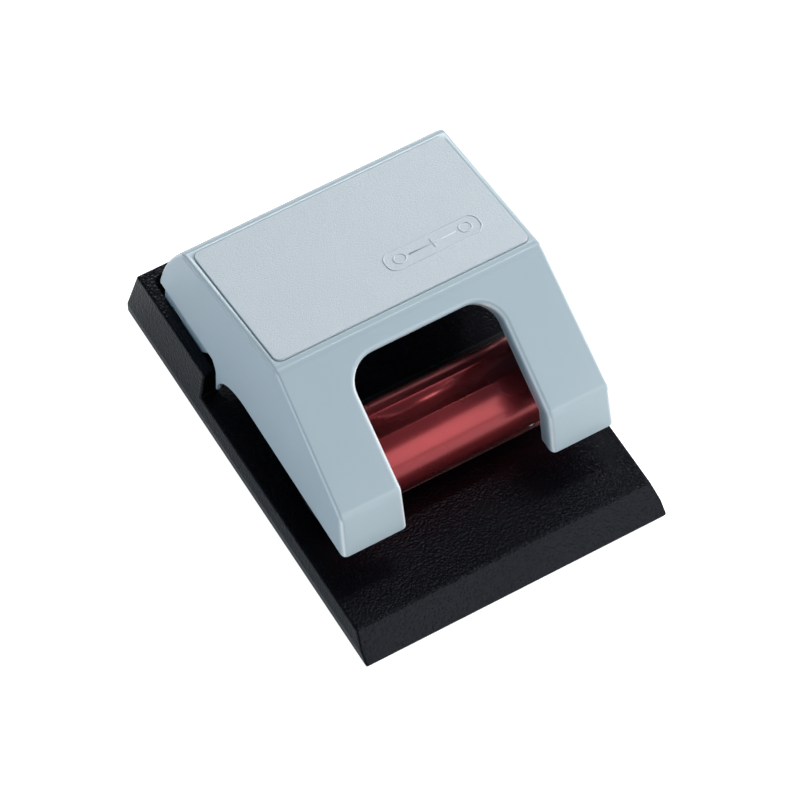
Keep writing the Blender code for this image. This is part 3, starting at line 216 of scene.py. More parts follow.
def math_node(tree, operation, first, second=0.0, clamp=False):
    """One sum of two numbers or sockets, kept between 0 and 1 if clamp is set."""
    node = add(tree, "ShaderNodeMath", {0: first, 1: second}, operation=operation, use_clamp=clamp)
    return node.outputs[0]


PER_METRE = 1.0 / MM
print("a texture scale of", round(PER_METRE), "repeats every millimetre")

# %% [markdown]
# ### Moulded grain
#
# A mould is etched or spark-eroded, and the plastic copies its texture: rounded cells like
# leather, or fine sand. Smooth Voronoi cells, pushed about a little by noise so that they don't
# look drawn, give the cells, and a finer noise gives the sand on top.

# %% The grain group
GRAIN_WARP = 0.6 * MM
SAND_PER_CELL = 3.7


def moulded_grain_group():
    """Leathery or sandy grain: rounded cells with a finer sand on top. Gives a height from 0 up."""
    group, given, made = new_group("moulded_grain", [("Size mm", 1.0), ("Sand", 0.3)], ["Height"])
    place = add(group, "ShaderNodeTexCoord").outputs["Object"]
    scale = math_node(group, "DIVIDE", PER_METRE, given.outputs["Size mm"])
    warp = add(group, "ShaderNodeTexNoise", {"Vector": place, "Scale": scale, "Detail": 2.0})
    shift = add(group, "ShaderNodeVectorMath", {0: warp.outputs["Color"]}, operation="SCALE")
    shift.inputs["Scale"].default_value = GRAIN_WARP
    moved = add(group, "ShaderNodeVectorMath", {0: place, 1: shift.outputs[0]}, operation="ADD")
    cells = add(
        group,
        "ShaderNodeTexVoronoi",
        {"Vector": moved.outputs[0], "Scale": scale, "Smoothness": 0.6},
        feature="SMOOTH_F1",
    )
    pits = math_node(group, "SUBTRACT", 1.0, cells.outputs["Distance"], True)
    fine_scale = math_node(group, "MULTIPLY", scale, SAND_PER_CELL)
    sand = add(group, "ShaderNodeTexNoise", {"Vector": place, "Scale": fine_scale, "Detail": 4.0})
    share = math_node(group, "MULTIPLY", sand.outputs["Fac"], given.outputs["Sand"])
    group.links.new(math_node(group, "ADD", pits, share), made.inputs["Height"])
    return group


GRAIN = moulded_grain_group()
print(GRAIN.name, "has", len(GRAIN.nodes), "nodes")

# %% [markdown]
# ### Rubbed edges
#
# Edges rub first. A Bevel node gives the normal that a rounded edge would have. Where it leaves
# the true normal there is an edge, and noise breaks the line up, as real wear is broken.

# %% The edge group
EDGE_RADIUS = 0.9 * MM
EDGE_GAIN = 6.0
WEAR_PATCHES = 260.0


def rubbed_edges_group():
    """1 on an edge and 0 on a flat, broken up by noise so that wear isn't an even line."""
    group, given, made = new_group("rubbed_edges", [("Break Up", 0.6), ("Strength", 1.0)], ["Mask"])
    rounded = add(group, "ShaderNodeBevel", {"Radius": EDGE_RADIUS}, samples=4)
    true = add(group, "ShaderNodeNewGeometry")
    same = add(
        group,
        "ShaderNodeVectorMath",
        {0: rounded.outputs["Normal"], 1: true.outputs["Normal"]},
        operation="DOT_PRODUCT",
    )
    edge = math_node(group, "SUBTRACT", 1.0, same.outputs["Value"], True)
    strong = math_node(group, "MULTIPLY", edge, EDGE_GAIN, True)
    place = add(group, "ShaderNodeTexCoord").outputs["Object"]
    noise = add(group, "ShaderNodeTexNoise", {"Vector": place, "Scale": WEAR_PATCHES, "Detail": 5.0})
    gap = math_node(group, "MULTIPLY", noise.outputs["Fac"], given.outputs["Break Up"])
    kept = math_node(group, "SUBTRACT", strong, gap, True)
    mask = math_node(group, "MULTIPLY", kept, given.outputs["Strength"], True)
    group.links.new(mask, made.inputs["Mask"])
    return group


EDGES = rubbed_edges_group()
print(EDGES.name, "has", len(EDGES.nodes), "nodes")

# %% [markdown]
# ### Uneven tone and polished corners
#
# Any moulded or painted part changes shade slowly over its surface, which one soft noise gives.
# The cover's corners are another matter: a light, smooth line is painted in white along the middle of the
# rounding beside each of its sides, a painted highlight that stands in for the reflection of a light. The
# direction that a point faces tells where that middle is, because the faces beside it look plainly to the
# side or plainly up and forward.

# %% The tone and corner groups
CORNER_FACING, CORNER_REACH = 0.66, 0.32


def uneven_tone_group():
    """A slow change from 0 to 1 over the surface, about 0.5 on average."""
    group, given, made = new_group("uneven_tone", [("Size mm", 30.0)], ["Value"])
    place = add(group, "ShaderNodeTexCoord").outputs["Object"]
    scale = math_node(group, "DIVIDE", PER_METRE, given.outputs["Size mm"])
    noise = add(group, "ShaderNodeTexNoise", {"Vector": place, "Scale": scale, "Detail": 3.0})
    group.links.new(noise.outputs["Fac"], made.inputs["Value"])
    return group


def painted_corner_highlight_group():
    """1 along the middle of a rounded corner beside a left or right side: a painted highlight line."""
    group, given, made = new_group("painted_corner_highlight", [("Strength", 1.0)], ["Mask"])
    facing = add(group, "ShaderNodeTexCoord").outputs["Normal"]
    sideways = add(group, "ShaderNodeSeparateXYZ", {"Vector": facing}).outputs["X"]
    turned = math_node(group, "SUBTRACT", math_node(group, "ABSOLUTE", sideways), CORNER_FACING)
    away = math_node(group, "DIVIDE", math_node(group, "ABSOLUTE", turned), CORNER_REACH)
    line = math_node(group, "SUBTRACT", 1.0, away, True)
    mask = math_node(group, "MULTIPLY", line, given.outputs["Strength"], True)
    group.links.new(mask, made.inputs["Mask"])
    return group


TONE = uneven_tone_group()
CORNERS = painted_corner_highlight_group()
print("node groups:", GRAIN.name, EDGES.name, TONE.name, CORNERS.name)

# %% [markdown]
# ## The finishes
#
# Every finish is one Principled BSDF with the same wiring: a slow change of tone in the colour,
# lighter or darker edges, a roughness that varies a little, and a height that feeds a Bump node.
# What makes plastic look like plastic and steel like steel is the numbers, so each finish is one
# call that gives its numbers by name.

# %% Placing groups and mixing colours
def use_group(tree, group, **values):
    """Places a node group in a material with its own values. Size_mm= sets the input Size mm."""
    node = tree.nodes.new("ShaderNodeGroup")
    node.node_tree = group
    for label, value in values.items():
        node.inputs[label.replace("_", " ")].default_value = value
    return node


def mix_colours(tree, factor, first, second):
    """The first colour where factor is 0, the second where it is 1."""
    node = tree.nodes.new("ShaderNodeMix")
    node.data_type = "RGBA"
    for socket, source in ((node.inputs[0], factor), (node.inputs[6], first), (node.inputs[7], second)):
        if isinstance(source, bpy.types.NodeSocket):
            tree.links.new(source, socket)
        else:
            socket.default_value = source
    return node.outputs[2]


WHITE = (1.0, 1.0, 1.0, 1.0)
print("4 groups are ready to be placed")

# %% One recipe for all finishes
EDGE_BREAK_UP = 0.6
ROUGHNESS_SWING, EDGE_POLISH = 0.08, 0.12
BRUSH_PER_METRE, GRAIN_UNDER_BRUSH = 1000.0, 0.3


def finish(
    name,
    colour,
    darker,
    edge_colour,
    roughness,
    grain_mm=0.5,
    grain_depth=0.0,
    sand=0.4,
    edge_wear=0.3,
    metallic=0.0,
    coat=0.0,
    coat_roughness=0.1,
    tone_mm=30.0,
    specular=0.5,
    brushed=None,
    edge_tint=(1.0, 1.0, 1.0),
    corner_highlight=0.0,
):
    """A finish from its values. Colours are linear (red, green, blue). brushed is the scale of the
    brush lines along X, Y and Z, small where they run long."""
    material = bpy.data.materials.new(name)
    material.use_nodes = True
    tree = material.node_tree
    shader = tree.nodes["Principled BSDF"]
    tone = use_group(tree, TONE, Size_mm=tone_mm).outputs[0]
    edges = use_group(tree, EDGES, Break_Up=EDGE_BREAK_UP, Strength=edge_wear).outputs[0]
    grain = use_group(tree, GRAIN, Size_mm=grain_mm, Sand=sand)
    flat_colour = mix_colours(tree, tone, (*darker, 1.0), (*colour, 1.0))
    colours = mix_colours(tree, edges, flat_colour, (*edge_colour, 1.0))
    # A painted highlight: white mixed into the colour along the middle of the rounded corners.
    if corner_highlight:
        corners = use_group(tree, CORNERS, Strength=corner_highlight).outputs[0]
        colours = mix_colours(tree, corners, colours, WHITE)
    tree.links.new(colours, shader.inputs["Base Color"])
    height = grain.outputs["Height"]
    if brushed:
        place = add(tree, "ShaderNodeTexCoord").outputs["Object"]
        drawn = add(tree, "ShaderNodeMapping", {"Vector": place})
        drawn.inputs["Scale"].default_value = brushed
        fine = {"Vector": drawn.outputs[0], "Scale": BRUSH_PER_METRE, "Detail": 4.0}
        lines = add(tree, "ShaderNodeTexNoise", fine)
        height = math_node(tree, "MULTIPLY", height, GRAIN_UNDER_BRUSH)
        height = math_node(tree, "ADD", height, lines.outputs["Fac"])
    swing = math_node(tree, "MULTIPLY", math_node(tree, "SUBTRACT", tone, 0.5), ROUGHNESS_SWING * 2)
    worn = math_node(tree, "MULTIPLY", edges, -EDGE_POLISH)
    rough = math_node(tree, "ADD", math_node(tree, "ADD", swing, worn), roughness, True)
    tree.links.new(rough, shader.inputs["Roughness"])
    bump = add(tree, "ShaderNodeBump", {"Height": height, "Distance": grain_depth * MM, "Strength": 1.0})
    tree.links.new(bump.outputs["Normal"], shader.inputs["Normal"])
    shader.inputs["Metallic"].default_value = metallic
    shader.inputs["Coat Weight"].default_value = coat
    shader.inputs["Coat Roughness"].default_value = coat_roughness
    shader.inputs["Specular IOR Level"].default_value = specular
    shader.inputs["Specular Tint"].default_value = (*edge_tint, 1.0)
    return material


print("a finish swings its roughness by", ROUGHNESS_SWING)

# %% [markdown]
# ### Plastics and lacquer
#
# The cover is satin, with a thin coat for its soft shine. The panel is sandy, and its colour is painted
# lighter than the cover's, standing in for the sheen of light on the flat top. The base is black with a
# leather grain. The lacquer is metal below and a clear coat on top. Three colours are given for each
# finish: the lighter tone, the darker tone and the edges.

# %% Cover, panel, base and lacquer
# The cover gets a painted highlight: a white line along the middle of its rounded side corners.
COVER_PLASTIC = finish(
    "satin_blue_grey_plastic",
    (0.492, 0.592, 0.640),
    (0.462, 0.566, 0.618),
    (0.600, 0.690, 0.720),
    0.36,
    grain_mm=0.35,
    grain_depth=0.004,
    edge_wear=0.25,
    coat=0.6,
    coat_roughness=0.12,
    corner_highlight=1.0,
)
# The panel's colour is painted lighter than the cover's: painted light for the sheen on the flat top.
PANEL_PLASTIC = finish(
    "sandy_blue_grey_plastic",
    (0.700, 0.752, 0.785),
    (0.665, 0.722, 0.760),
    (0.780, 0.810, 0.840),
    0.50,
    grain_mm=0.45,
    grain_depth=0.095,
    sand=0.9,
    edge_wear=0.2,
    tone_mm=18.0,
)
BASE_PLASTIC = finish(
    "leather_grained_black_plastic",
    (0.0022, 0.0020, 0.0030),
    (0.0014, 0.0012, 0.0020),
    (0.010, 0.010, 0.012),
    0.26,
    grain_mm=0.85,
    grain_depth=0.15,
    sand=0.25,
    edge_wear=0.45,
    tone_mm=22.0,
    specular=0.25,
    edge_tint=(0.82, 0.86, 1.0),
)
RED_LACQUER = finish(
    "deep_red_lacquer",
    (0.385, 0.044, 0.050),
    (0.325, 0.034, 0.039),
    (0.480, 0.080, 0.085),
    0.28,
    grain_mm=0.8,
    grain_depth=0.002,
    metallic=0.72,
    coat=0.60,
    coat_roughness=0.20,
    edge_wear=0.2,
    edge_tint=(1.0, 0.30, 0.32),
)
print(len(bpy.data.materials), "materials")

# %% [markdown]
# ### Metals, nylon and rubber
#
# These are mostly inside and underneath, but some of them show from behind, from the side and
# from below. Ground steel is brushed along one direction, zinc plate is grainy, nylon is waxy
# and rubber is dull.

# %% Metals, nylon and rubber
BLACK_METAL = finish(
    "satin_black_metal",
    (0.010, 0.010, 0.011),
    (0.006, 0.006, 0.007),
    (0.10, 0.10, 0.10),
    0.42,
    grain_mm=0.5,
    grain_depth=0.01,
    metallic=0.3,
    edge_wear=0.5,
)
GROUND_STEEL = finish(
    "ground_steel",
    (0.56, 0.56, 0.57),
    (0.46, 0.46, 0.47),
    (0.75, 0.75, 0.76),
    0.28,
    grain_depth=0.006,
    metallic=1.0,
    brushed=(0.08, 1.0, 1.0),
    edge_wear=0.4,
)
SPRING_STEEL = finish(
    "drawn_spring_steel",
    (0.36, 0.36, 0.38),
    (0.26, 0.26, 0.28),
    (0.60, 0.60, 0.62),
    0.30,
    grain_depth=0.004,
    metallic=1.0,
    brushed=(1.0, 1.0, 0.2),
)
ZINC_PLATE = finish(
    "zinc_plate",
    (0.62, 0.63, 0.60),
    (0.50, 0.51, 0.50),
    (0.78, 0.78, 0.76),
    0.36,
    grain_mm=0.4,
    grain_depth=0.006,
    metallic=1.0,
)
NYLON = finish(
    "natural_nylon",
    (0.74, 0.73, 0.68),
    (0.66, 0.65, 0.60),
    (0.80, 0.79, 0.75),
    0.5,
    grain_mm=0.4,
    grain_depth=0.01,
)
RUBBER = finish(
    "black_rubber",
    (0.020, 0.020, 0.020),
    (0.012, 0.012, 0.012),
    (0.05, 0.05, 0.05),
    0.75,
    grain_mm=0.5,
    grain_depth=0.03,
)
print(len(bpy.data.materials), "materials")

# %% [markdown]
# ## The lever's shell
#
# The lever is one plastic moulding: two legs at the front, an open window between them, a flat
# top and a bowed back. A moulded shell is best made as its outer skin. The skin is drawn as a
# few flat faces, a Solidify modifier gives the wall, and a Bevel modifier that follows edge
# weights rounds the outside generously and the window's edge less. A boolean would do for the
# shape too, but it leaves scraps of edges that a bevel can't round cleanly.

# %% The lever's side view
FOOT_HALF, FOOT_HEIGHT, DRAFT = 50.2 * MM, 28.4 * MM, 0.0345
LEG_FOOT = at(24.1, 28.4)
KNEE = at(27.2, 46.2)
CREST = at(69.0, 75.5)
REAR_TOP = at(129.9, 64.0)
REAR_FOOT = at(145.4, 27.7)
SIDE_EDGE_MM, BACK_BOW = 31.4, 2.2 * MM
TONGUE_TIP = at(106.4, 17.8)
ARCH_CENTRE = TONGUE_TIP - Vector((18.4, 0.0)) * MM
ARCH_HALF_MM, ARCH_RISE_MM = 17.6, 13.6


def half_width(height):
    """Half the lever's width: its sides lean in as they rise."""
    return FOOT_HALF - (height - FOOT_HEIGHT) * DRAFT


def bowed(start, end, bulge, steps):
    """Points between start and end on a shallow curve that stands out to the left."""
    along = end - start
    left = Vector((-along.y, along.x)).normalized()
    shares = [i / steps for i in range(1, steps)]
    return [start + along * t + left * 4 * bulge * t * (1 - t) for t in shares]


BACK = [p for p in bowed(REAR_TOP, REAR_FOOT, BACK_BOW, 12) if p.y > (SIDE_EDGE_MM + 1) * MM]
UPPER = [LEG_FOOT, KNEE, CREST, REAR_TOP, *BACK, at(144.72, SIDE_EDGE_MM)]
QUARTER = arc((0.0, 0.0), 1.0, 0, 90, 14)
ARCH = [ARCH_CENTRE + Vector((ARCH_HALF_MM * p.x, ARCH_RISE_MM * p.y)) * MM for p in QUARTER]
HEEL = [at(109.0, SIDE_EDGE_MM), at(107.8, 29.9), at(106.9, 28.2), at(106.4, 26.2)]
LOWER = [*HEEL, TONGUE_TIP, *ARCH]
print("the side view has", len(UPPER) + len(LOWER), "points")

# %% [markdown]
# The window is cut into the slope and runs out through the leg ends. Its outline is a list of
# points that climbs one leg, rounds the two top corners and comes down the other leg. The wall
# that turns inward from it is the same list again, moved into the lever.

# %% The window's outline
WINDOW_HALF, WINDOW_CORNER, WINDOW_WALL = 26.7 * MM, 10.0 * MM, 6.4 * MM
WINDOW_BEFORE_CREST = (69.0 - 62.6) * MM
SLOPE_DOWN = (KNEE - CREST).normalized()
SLOPE_IN = Vector((-SLOPE_DOWN.y, SLOPE_DOWN.x))
LEG_DOWN = (LEG_FOOT - KNEE).normalized()
LEG_IN = Vector((-LEG_DOWN.y, LEG_DOWN.x))
WINDOW_TOP = CREST + SLOPE_DOWN * (WINDOW_BEFORE_CREST / -SLOPE_DOWN.x)


def window_path():
    """(x, point in the side view, direction into the lever) along the window's edge."""
    corner_left = arc((-WINDOW_HALF + WINDOW_CORNER, WINDOW_CORNER), WINDOW_CORNER, 180, 270, 10)
    corner_right = arc((WINDOW_HALF - WINDOW_CORNER, WINDOW_CORNER), WINDOW_CORNER, 270, 360, 10)
    bend = LEG_IN.dot(SLOPE_IN)
    knee_in = (LEG_IN + SLOPE_IN) / (1 + bend)
    foot_in = Vector((1.0 / LEG_IN.x, 0.0))
    path = [(-WINDOW_HALF, LEG_FOOT, foot_in), (-WINDOW_HALF, KNEE, knee_in)]
    for x, down in (tuple(p) for p in corner_left + corner_right):
        path.append((x, WINDOW_TOP + SLOPE_DOWN * down, SLOPE_IN))
    path += [(WINDOW_HALF, KNEE, knee_in), (WINDOW_HALF, LEG_FOOT, foot_in)]
    return path


WINDOW = window_path()
print("the window's edge has", len(WINDOW), "points")


# %% [markdown]
# Now the skin itself: both sides, the faces between them, and the window's wall. Each edge
# takes a share of the largest rounding, because on the real moulding the corners of the legs
# and the bends across the lever are rounder than the long side edges.

# %% Build the skin of the lever
FULL_ROUND, SIDE_ROUND, WINDOW_ROUND = 1.0, 0.65, 0.85


def lever_skin():
    """The outer skin, with a bevel weight on each edge that is to be rounded."""
    shape = bmesh.new()
    weight = shape.edges.layers.float.new("bevel_weight_edge")
    left = [shape.verts.new((-half_width(p.y), p.x, p.y)) for p in UPPER]
    right = [shape.verts.new((half_width(p.y), p.x, p.y)) for p in UPPER]
    low_left = [shape.verts.new((-half_width(p.y), p.x, p.y)) for p in LOWER]
    low_right = [shape.verts.new((half_width(p.y), p.x, p.y)) for p in LOWER]
    edge = [shape.verts.new((x, p.x, p.y)) for x, p, _ in WINDOW]
    deep = [shape.verts.new((x, (p + n * WINDOW_WALL).x, (p + n * WINDOW_WALL).y)) for x, p, n in WINDOW]
    shape.faces.new(left + low_left)
    shape.faces.new(right + low_right)
    for i in range(2, len(UPPER) - 1):
        shape.faces.new((left[i], right[i], right[i + 1], left[i + 1]))
    shape.faces.new((left[0], left[1], edge[1], edge[0]))
    shape.faces.new((right[0], right[1], edge[-2], edge[-1]))
    shape.faces.new([left[2], left[1], *edge[1:-1], right[1], right[2]])
    for i in range(len(edge) - 1):
        shape.faces.new((edge[i], edge[i + 1], deep[i + 1], deep[i]))
    bmesh.ops.recalc_face_normals(shape, faces=shape.faces)
    top = max(shape.faces, key=lambda f: f.calc_center_median().z)
    if top.normal.z < 0:
        bmesh.ops.reverse_faces(shape, faces=shape.faces)

    def weigh(verts, value):
        """Sets the weight of the edges along a row of points."""
        for first, second in zip(verts, verts[1:]):
            shape.edges.get((first, second))[weight] = value

    weigh(left, SIDE_ROUND)
    weigh(right, SIDE_ROUND)
    weigh(edge, WINDOW_ROUND)
    bends = [(left[1], edge[1]), (right[1], edge[-2]), (left[2], right[2]), (left[3], right[3])]
    for across in (left[:2], right[:2], *bends):
        weigh(across, FULL_ROUND)
    return object_from(shape, "lever_shell")


SHELL_WALL, LARGEST_ROUNDING, RIM_ROUND = 1.9 * MM, 2.0 * MM, 0.12
shell = lever_skin()
wall = shell.modifiers.new("wall", "SOLIDIFY")
wall.thickness = SHELL_WALL
wall.offset = -1.0
wall.use_even_offset = True
wall.bevel_convex = RIM_ROUND
rounding = shell.modifiers.new("rounding", "BEVEL")
rounding.width = LARGEST_ROUNDING
rounding.segments = 5
rounding.limit_method = "WEIGHT"
print("skin:", len(shell.data.polygons), "faces")

# %% [markdown]
# The top panel lies in a shallow pocket. On a flat face, away from every rounding, a boolean is
# the simplest clean way to sink it. The pocket is a hair larger than the panel, which leaves
# the fine dark line round it.

# %% Sink the pocket for the top panel
TOP_BACK = (REAR_TOP - CREST).normalized()
TOP_OUT = Vector((-TOP_BACK.y, TOP_BACK.x))
TOP_LENGTH = (REAR_TOP - CREST).length


def on_top(u, v, w):
    """u across, v to the back from the crest, w out of the lever's flat top."""
    point = CREST + TOP_BACK * v + TOP_OUT * w
    return (u, point.x, point.y)


def rounded_rectangle(low, high, radius, steps):
    """The outline of a rectangle with round corners, each in the given number of steps."""
    corners = (
        (high[0] - radius, high[1] - radius, 0),
        (low[0] + radius, high[1] - radius, 90),
        (low[0] + radius, low[1] + radius, 180),
        (high[0] - radius, low[1] + radius, 270),
    )
    return [p for x, y, start in corners for p in arc((x, y), radius, start, start + 90, steps)]


def cut_with(obj, cutter, name):
    """Takes the cutter's shape out of a piece with an exact boolean."""
    modifier = obj.modifiers.new(name, "BOOLEAN")
    modifier.operation = "DIFFERENCE"
    modifier.object = cutter
    modifier.solver = "EXACT"


PANEL_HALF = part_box("top_panel")[1].x
PANEL_END, PANEL_CORNER = 2.88 * MM, 2.5 * MM
POCKET_GAP, POCKET_DEPTH, CUTTER_TOP = 0.3 * MM, 0.8 * MM, 3.0 * MM


def panel_outline(grow):
    """The panel's outline on the lever's flat top, larger all round by grow."""
    low = (-PANEL_HALF - grow, PANEL_END - grow)
    high = (PANEL_HALF + grow, TOP_LENGTH - PANEL_END + grow)
    return rounded_rectangle(low, high, PANEL_CORNER + grow, 8)


pocket = prism("pocket_cutter", panel_outline(POCKET_GAP), -POCKET_DEPTH, CUTTER_TOP, on_top)
cut_with(shell, pocket, "pocket")
even = shell.modifiers.new("even_shading", "WEIGHTED_NORMAL")
even.keep_sharp = True
finish_piece(shell, COVER_PLASTIC, "lever", "cover_plastic", "lever_cover")
print("pocket outline:", len(panel_outline(0.0)), "points")

# %% [markdown]
# ## Applying the modifiers
#
# The pocket cutter must not stay behind as a loose object. So the shell's modifiers are applied
# by reading the evaluated mesh once, and the cutter is removed.

# %% Keep the evaluated shell
def apply_modifiers(obj, *helpers):
    """Replaces an object's mesh by its evaluated mesh and removes the helper objects."""
    bpy.context.view_layer.update()
    graph = bpy.context.evaluated_depsgraph_get()
    mesh = bpy.data.meshes.new_from_object(obj.evaluated_get(graph), depsgraph=graph)
    obj.modifiers.clear()
    obj.data = mesh
    for helper in helpers:
        bpy.data.objects.remove(helper)
    return obj


apply_modifiers(shell, pocket)
print("shell:", len(shell.data.polygons), "faces")

# %% [markdown]
# ## The ears inside the lever
#
# Inside its back, the lever has two flat ears with round eyes that hold the bushes of the
# hinge. Each is a plain outline with softened edges and an eye cut through it.

# %% The ears
def along_side(x_low, x_high):
    """Places a side view outline between two X planes."""
    return lambda u, v, w: (x_low + (x_high - x_low) * w, u, v)


EAR_THICKNESS, EYE_RADIUS = 2.4 * MM, 4.2 * MM
EAR_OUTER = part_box("lever_bush_right")[1].x + 0.15 * MM
EAR_INNER = EAR_OUTER - EAR_THICKNESS
EAR = [
    at(141.4, 38.4),
    at(112.0, 38.4),
    at(112.0, 28.4),
    at(129.75, 7.5),
    at(136.4, 4.9),
    at(146.9, 4.9),
    at(144.2, 27.7),
]


def eye_cutter(side):
    """A round bar on the pivot's axis that is longer than the ear is thick."""
    ring = arc((PIVOT.y, PIVOT.z), EYE_RADIUS, 0, 360, 64)[:-1]
    return prism("eye_cutter", ring, 40 * MM * side, 56 * MM * side, lambda u, v, w: (w, u, v))


for side_name, side in SIDES:
    spot = along_side(side * EAR_INNER, side * EAR_OUTER)
    ear = prism(f"lever_ear_{side_name}", EAR, 0.0, 1.0, spot)
    cutter = eye_cutter(side)
    cut_with(ear, cutter, "eye")
    soften(ear, 0.35 * MM, 2, 40)
    finish_piece(ear, COVER_PLASTIC, "lever", "cover_plastic", "lever_cover")
    apply_modifiers(ear, cutter)
    print(ear.name, len(ear.data.polygons), "faces")

# %% [markdown]
# ## Turned pieces: the screw bosses
#
# Under the slope, four round bosses take the screws of the press plates. A turned piece is an
# outline swept about an axis, as on a lathe. `lathe` does this for closed outlines, which give
# rings and sleeves. It serves again for the round housing.

# %% The lathe
def lathe(name, profile, centre, axis, steps):
    """Turns a closed outline of (radius, distance along the axis) points into a ring or sleeve."""
    shape = bmesh.new()
    turns = [2 * math.pi * i / steps for i in range(steps)]
    rings = []
    for radius, along in profile:
        points = [(radius * math.cos(a), radius * math.sin(a), along) for a in turns]
        rings.append([shape.verts.new(point) for point in points])
    for first, second in zip(rings, rings[1:] + rings[:1]):
        for i in range(steps):
            beside = (i + 1) % steps
            shape.faces.new((first[i], first[beside], second[beside], second[i]))
    if axis == "X":
        quarter_turn = Matrix.Rotation(math.pi / 2, 3, "Y")
        bmesh.ops.rotate(shape, verts=shape.verts, cent=(0, 0, 0), matrix=quarter_turn)
    bmesh.ops.translate(shape, verts=shape.verts, vec=centre)
    bmesh.ops.recalc_face_normals(shape, faces=shape.faces)
    return object_from(shape, name)


# %% The screw bosses under the slope
SLOPE_RATE = (CREST.y - KNEE.y) / (CREST.x - KNEE.x)
BOSS_FOOT, BOSS_BORE, BOSS_OUTER, BOSS_EDGE = 58.6 * MM, 1.6 * MM, 2.6 * MM, 0.3 * MM
for side_name, side in SIDES:
    for number in (1, 2):
        low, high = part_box(f"press_screw_{side_name}_{number}")
        x, y = (low.x + high.x) / 2, high.y - 2.2 * MM
        boss_top = KNEE.y + (y - KNEE.x) * SLOPE_RATE - 2.4 * MM
        profile = [
            (BOSS_BORE, BOSS_FOOT),
            (BOSS_OUTER - BOSS_EDGE, BOSS_FOOT),
            (BOSS_OUTER, BOSS_FOOT + BOSS_EDGE),
            (BOSS_OUTER, boss_top),
            (BOSS_BORE, boss_top),
        ]
        boss = lathe(f"press_boss_{side_name}_{number}", profile, (x, y, 0.0), "Z", 40)
        boss.data.set_sharp_from_angle(angle=math.radians(40))
        finish_piece(boss, COVER_PLASTIC, "lever", "cover_plastic", "lever_cover")
print("4 bosses")

# %% [markdown]
# ## The top panel and its mark
#
# The panel is a thin plate with a finely sanded face, sunk into its pocket.

# %% The top panel
PANEL_BOTTOM, PANEL_FACE = -0.5 * MM, 0.6 * MM
panel = prism("top_panel_plate", panel_outline(0.0), PANEL_BOTTOM, PANEL_FACE, on_top)
soften(panel, 0.3 * MM, 3, 40)
finish_piece(panel, PANEL_PLASTIC, "lever", "panel_plastic", "top_panel")
print("panel:", round(2 * PANEL_HALF / MM, 1), "x", round((TOP_LENGTH - 2 * PANEL_END) / MM, 1), "mm")


# %% [markdown]
# Low on the panel's right side is a raised outline with a mark in it. The mark is a plain
# pictogram of what the tool does: two punched holes, and the line between them with a tick at
# its middle. Raised marks are real geometry, thin ridges that stand a few tenths of a
# millimetre out of the face.

# %% The ridge tool
HALF_ARCH = ((-0.5, 0.0), (-0.42, 0.55), (-0.22, 0.9))
RIDGE_SECTION = [*HALF_ARCH, (0.0, 1.0), *((-x, z) for x, z in reversed(HALF_ARCH))]
RIDGE_ROOT = 0.05 * MM


def ridge(name, outline, width, height, closed=True):
    """A low ridge with a rounded top that follows an outline on the panel's face."""
    count = len(outline)
    points, faces = [], []
    for i in range(count):
        before = outline[i - 1] if closed or i > 0 else outline[i]
        after = outline[(i + 1) % count] if closed or i < count - 1 else outline[i]
        along = (after - before).normalized()
        across = Vector((-along.y, along.x))
        for sideways, up in RIDGE_SECTION:
            spot = outline[i] + across * sideways * width
            points.append(on_top(spot.x, spot.y, PANEL_FACE - RIDGE_ROOT + up * height))
    row = len(RIDGE_SECTION)
    for i in range(count if closed else count - 1):
        here, there = i * row, (i + 1) % count * row
        faces += [(here + k, here + k + 1, there + k + 1, there + k) for k in range(row - 1)]
        faces.append((here + row - 1, here, there, there + row - 1))
    if not closed:
        faces += [tuple(range(row)), tuple(range((count - 1) * row, count * row))]
    return face_outward(mesh_piece(name, points, faces))


print("a ridge has", len(RIDGE_SECTION), "points across")

# %% The raised mark
MARK_LOW, MARK_HIGH = Vector((2.6, 14.8)) * MM, Vector((36.8, 23.4)) * MM
MARK_CORNER, HOLE_RADIUS, HOLE_SHIFT = 3.4 * MM, 2.1 * MM, 12.0 * MM
OUTLINE_WIDTH, OUTLINE_HEIGHT = 0.62 * MM, 0.30 * MM
LINE_WIDTH, LINE_HEIGHT = 0.6 * MM, 0.28 * MM
MARK_LINES = {"line": ((-8.6, 0.0), (8.6, 0.0)), "tick": ((0.0, -2.0), (0.0, 2.0))}
mark_middle = (MARK_LOW + MARK_HIGH) / 2
frame_outline = rounded_rectangle(MARK_LOW, MARK_HIGH, MARK_CORNER, 10)
marks = [ridge("mark_outline", frame_outline, OUTLINE_WIDTH, OUTLINE_HEIGHT)]
for side_name, side in SIDES:
    ring = arc((mark_middle.x + side * HOLE_SHIFT, mark_middle.y), HOLE_RADIUS, 0, 360, 40)[:-1]
    marks.append(ridge(f"mark_hole_{side_name}", ring, LINE_WIDTH, LINE_HEIGHT))
for label, line in MARK_LINES.items():
    ends = [mark_middle + Vector(p) * MM for p in line]
    marks.append(ridge(f"mark_{label}", ends, LINE_WIDTH, LINE_HEIGHT, closed=False))
for mark in marks:
    finish_piece(mark, PANEL_PLASTIC, "lever", "panel_plastic")
print(len(marks), "raised marks")

# %% [markdown]
# ## The round housing
#
# The red housing is a thick-walled tube. A lathe profile gives it finely rounded ends. Near each
# end a wide bore from above and a narrower one below it let the pin through. Its colour is a
# dark red lacquer over metal: metallic below, with a clear coat on top that draws the long
# bright streaks.

# %% The tube
TUBE_WALL, TUBE_LIP, LIP_MIDDLE = 1.5 * MM, 0.4 * MM, 0.12 * MM
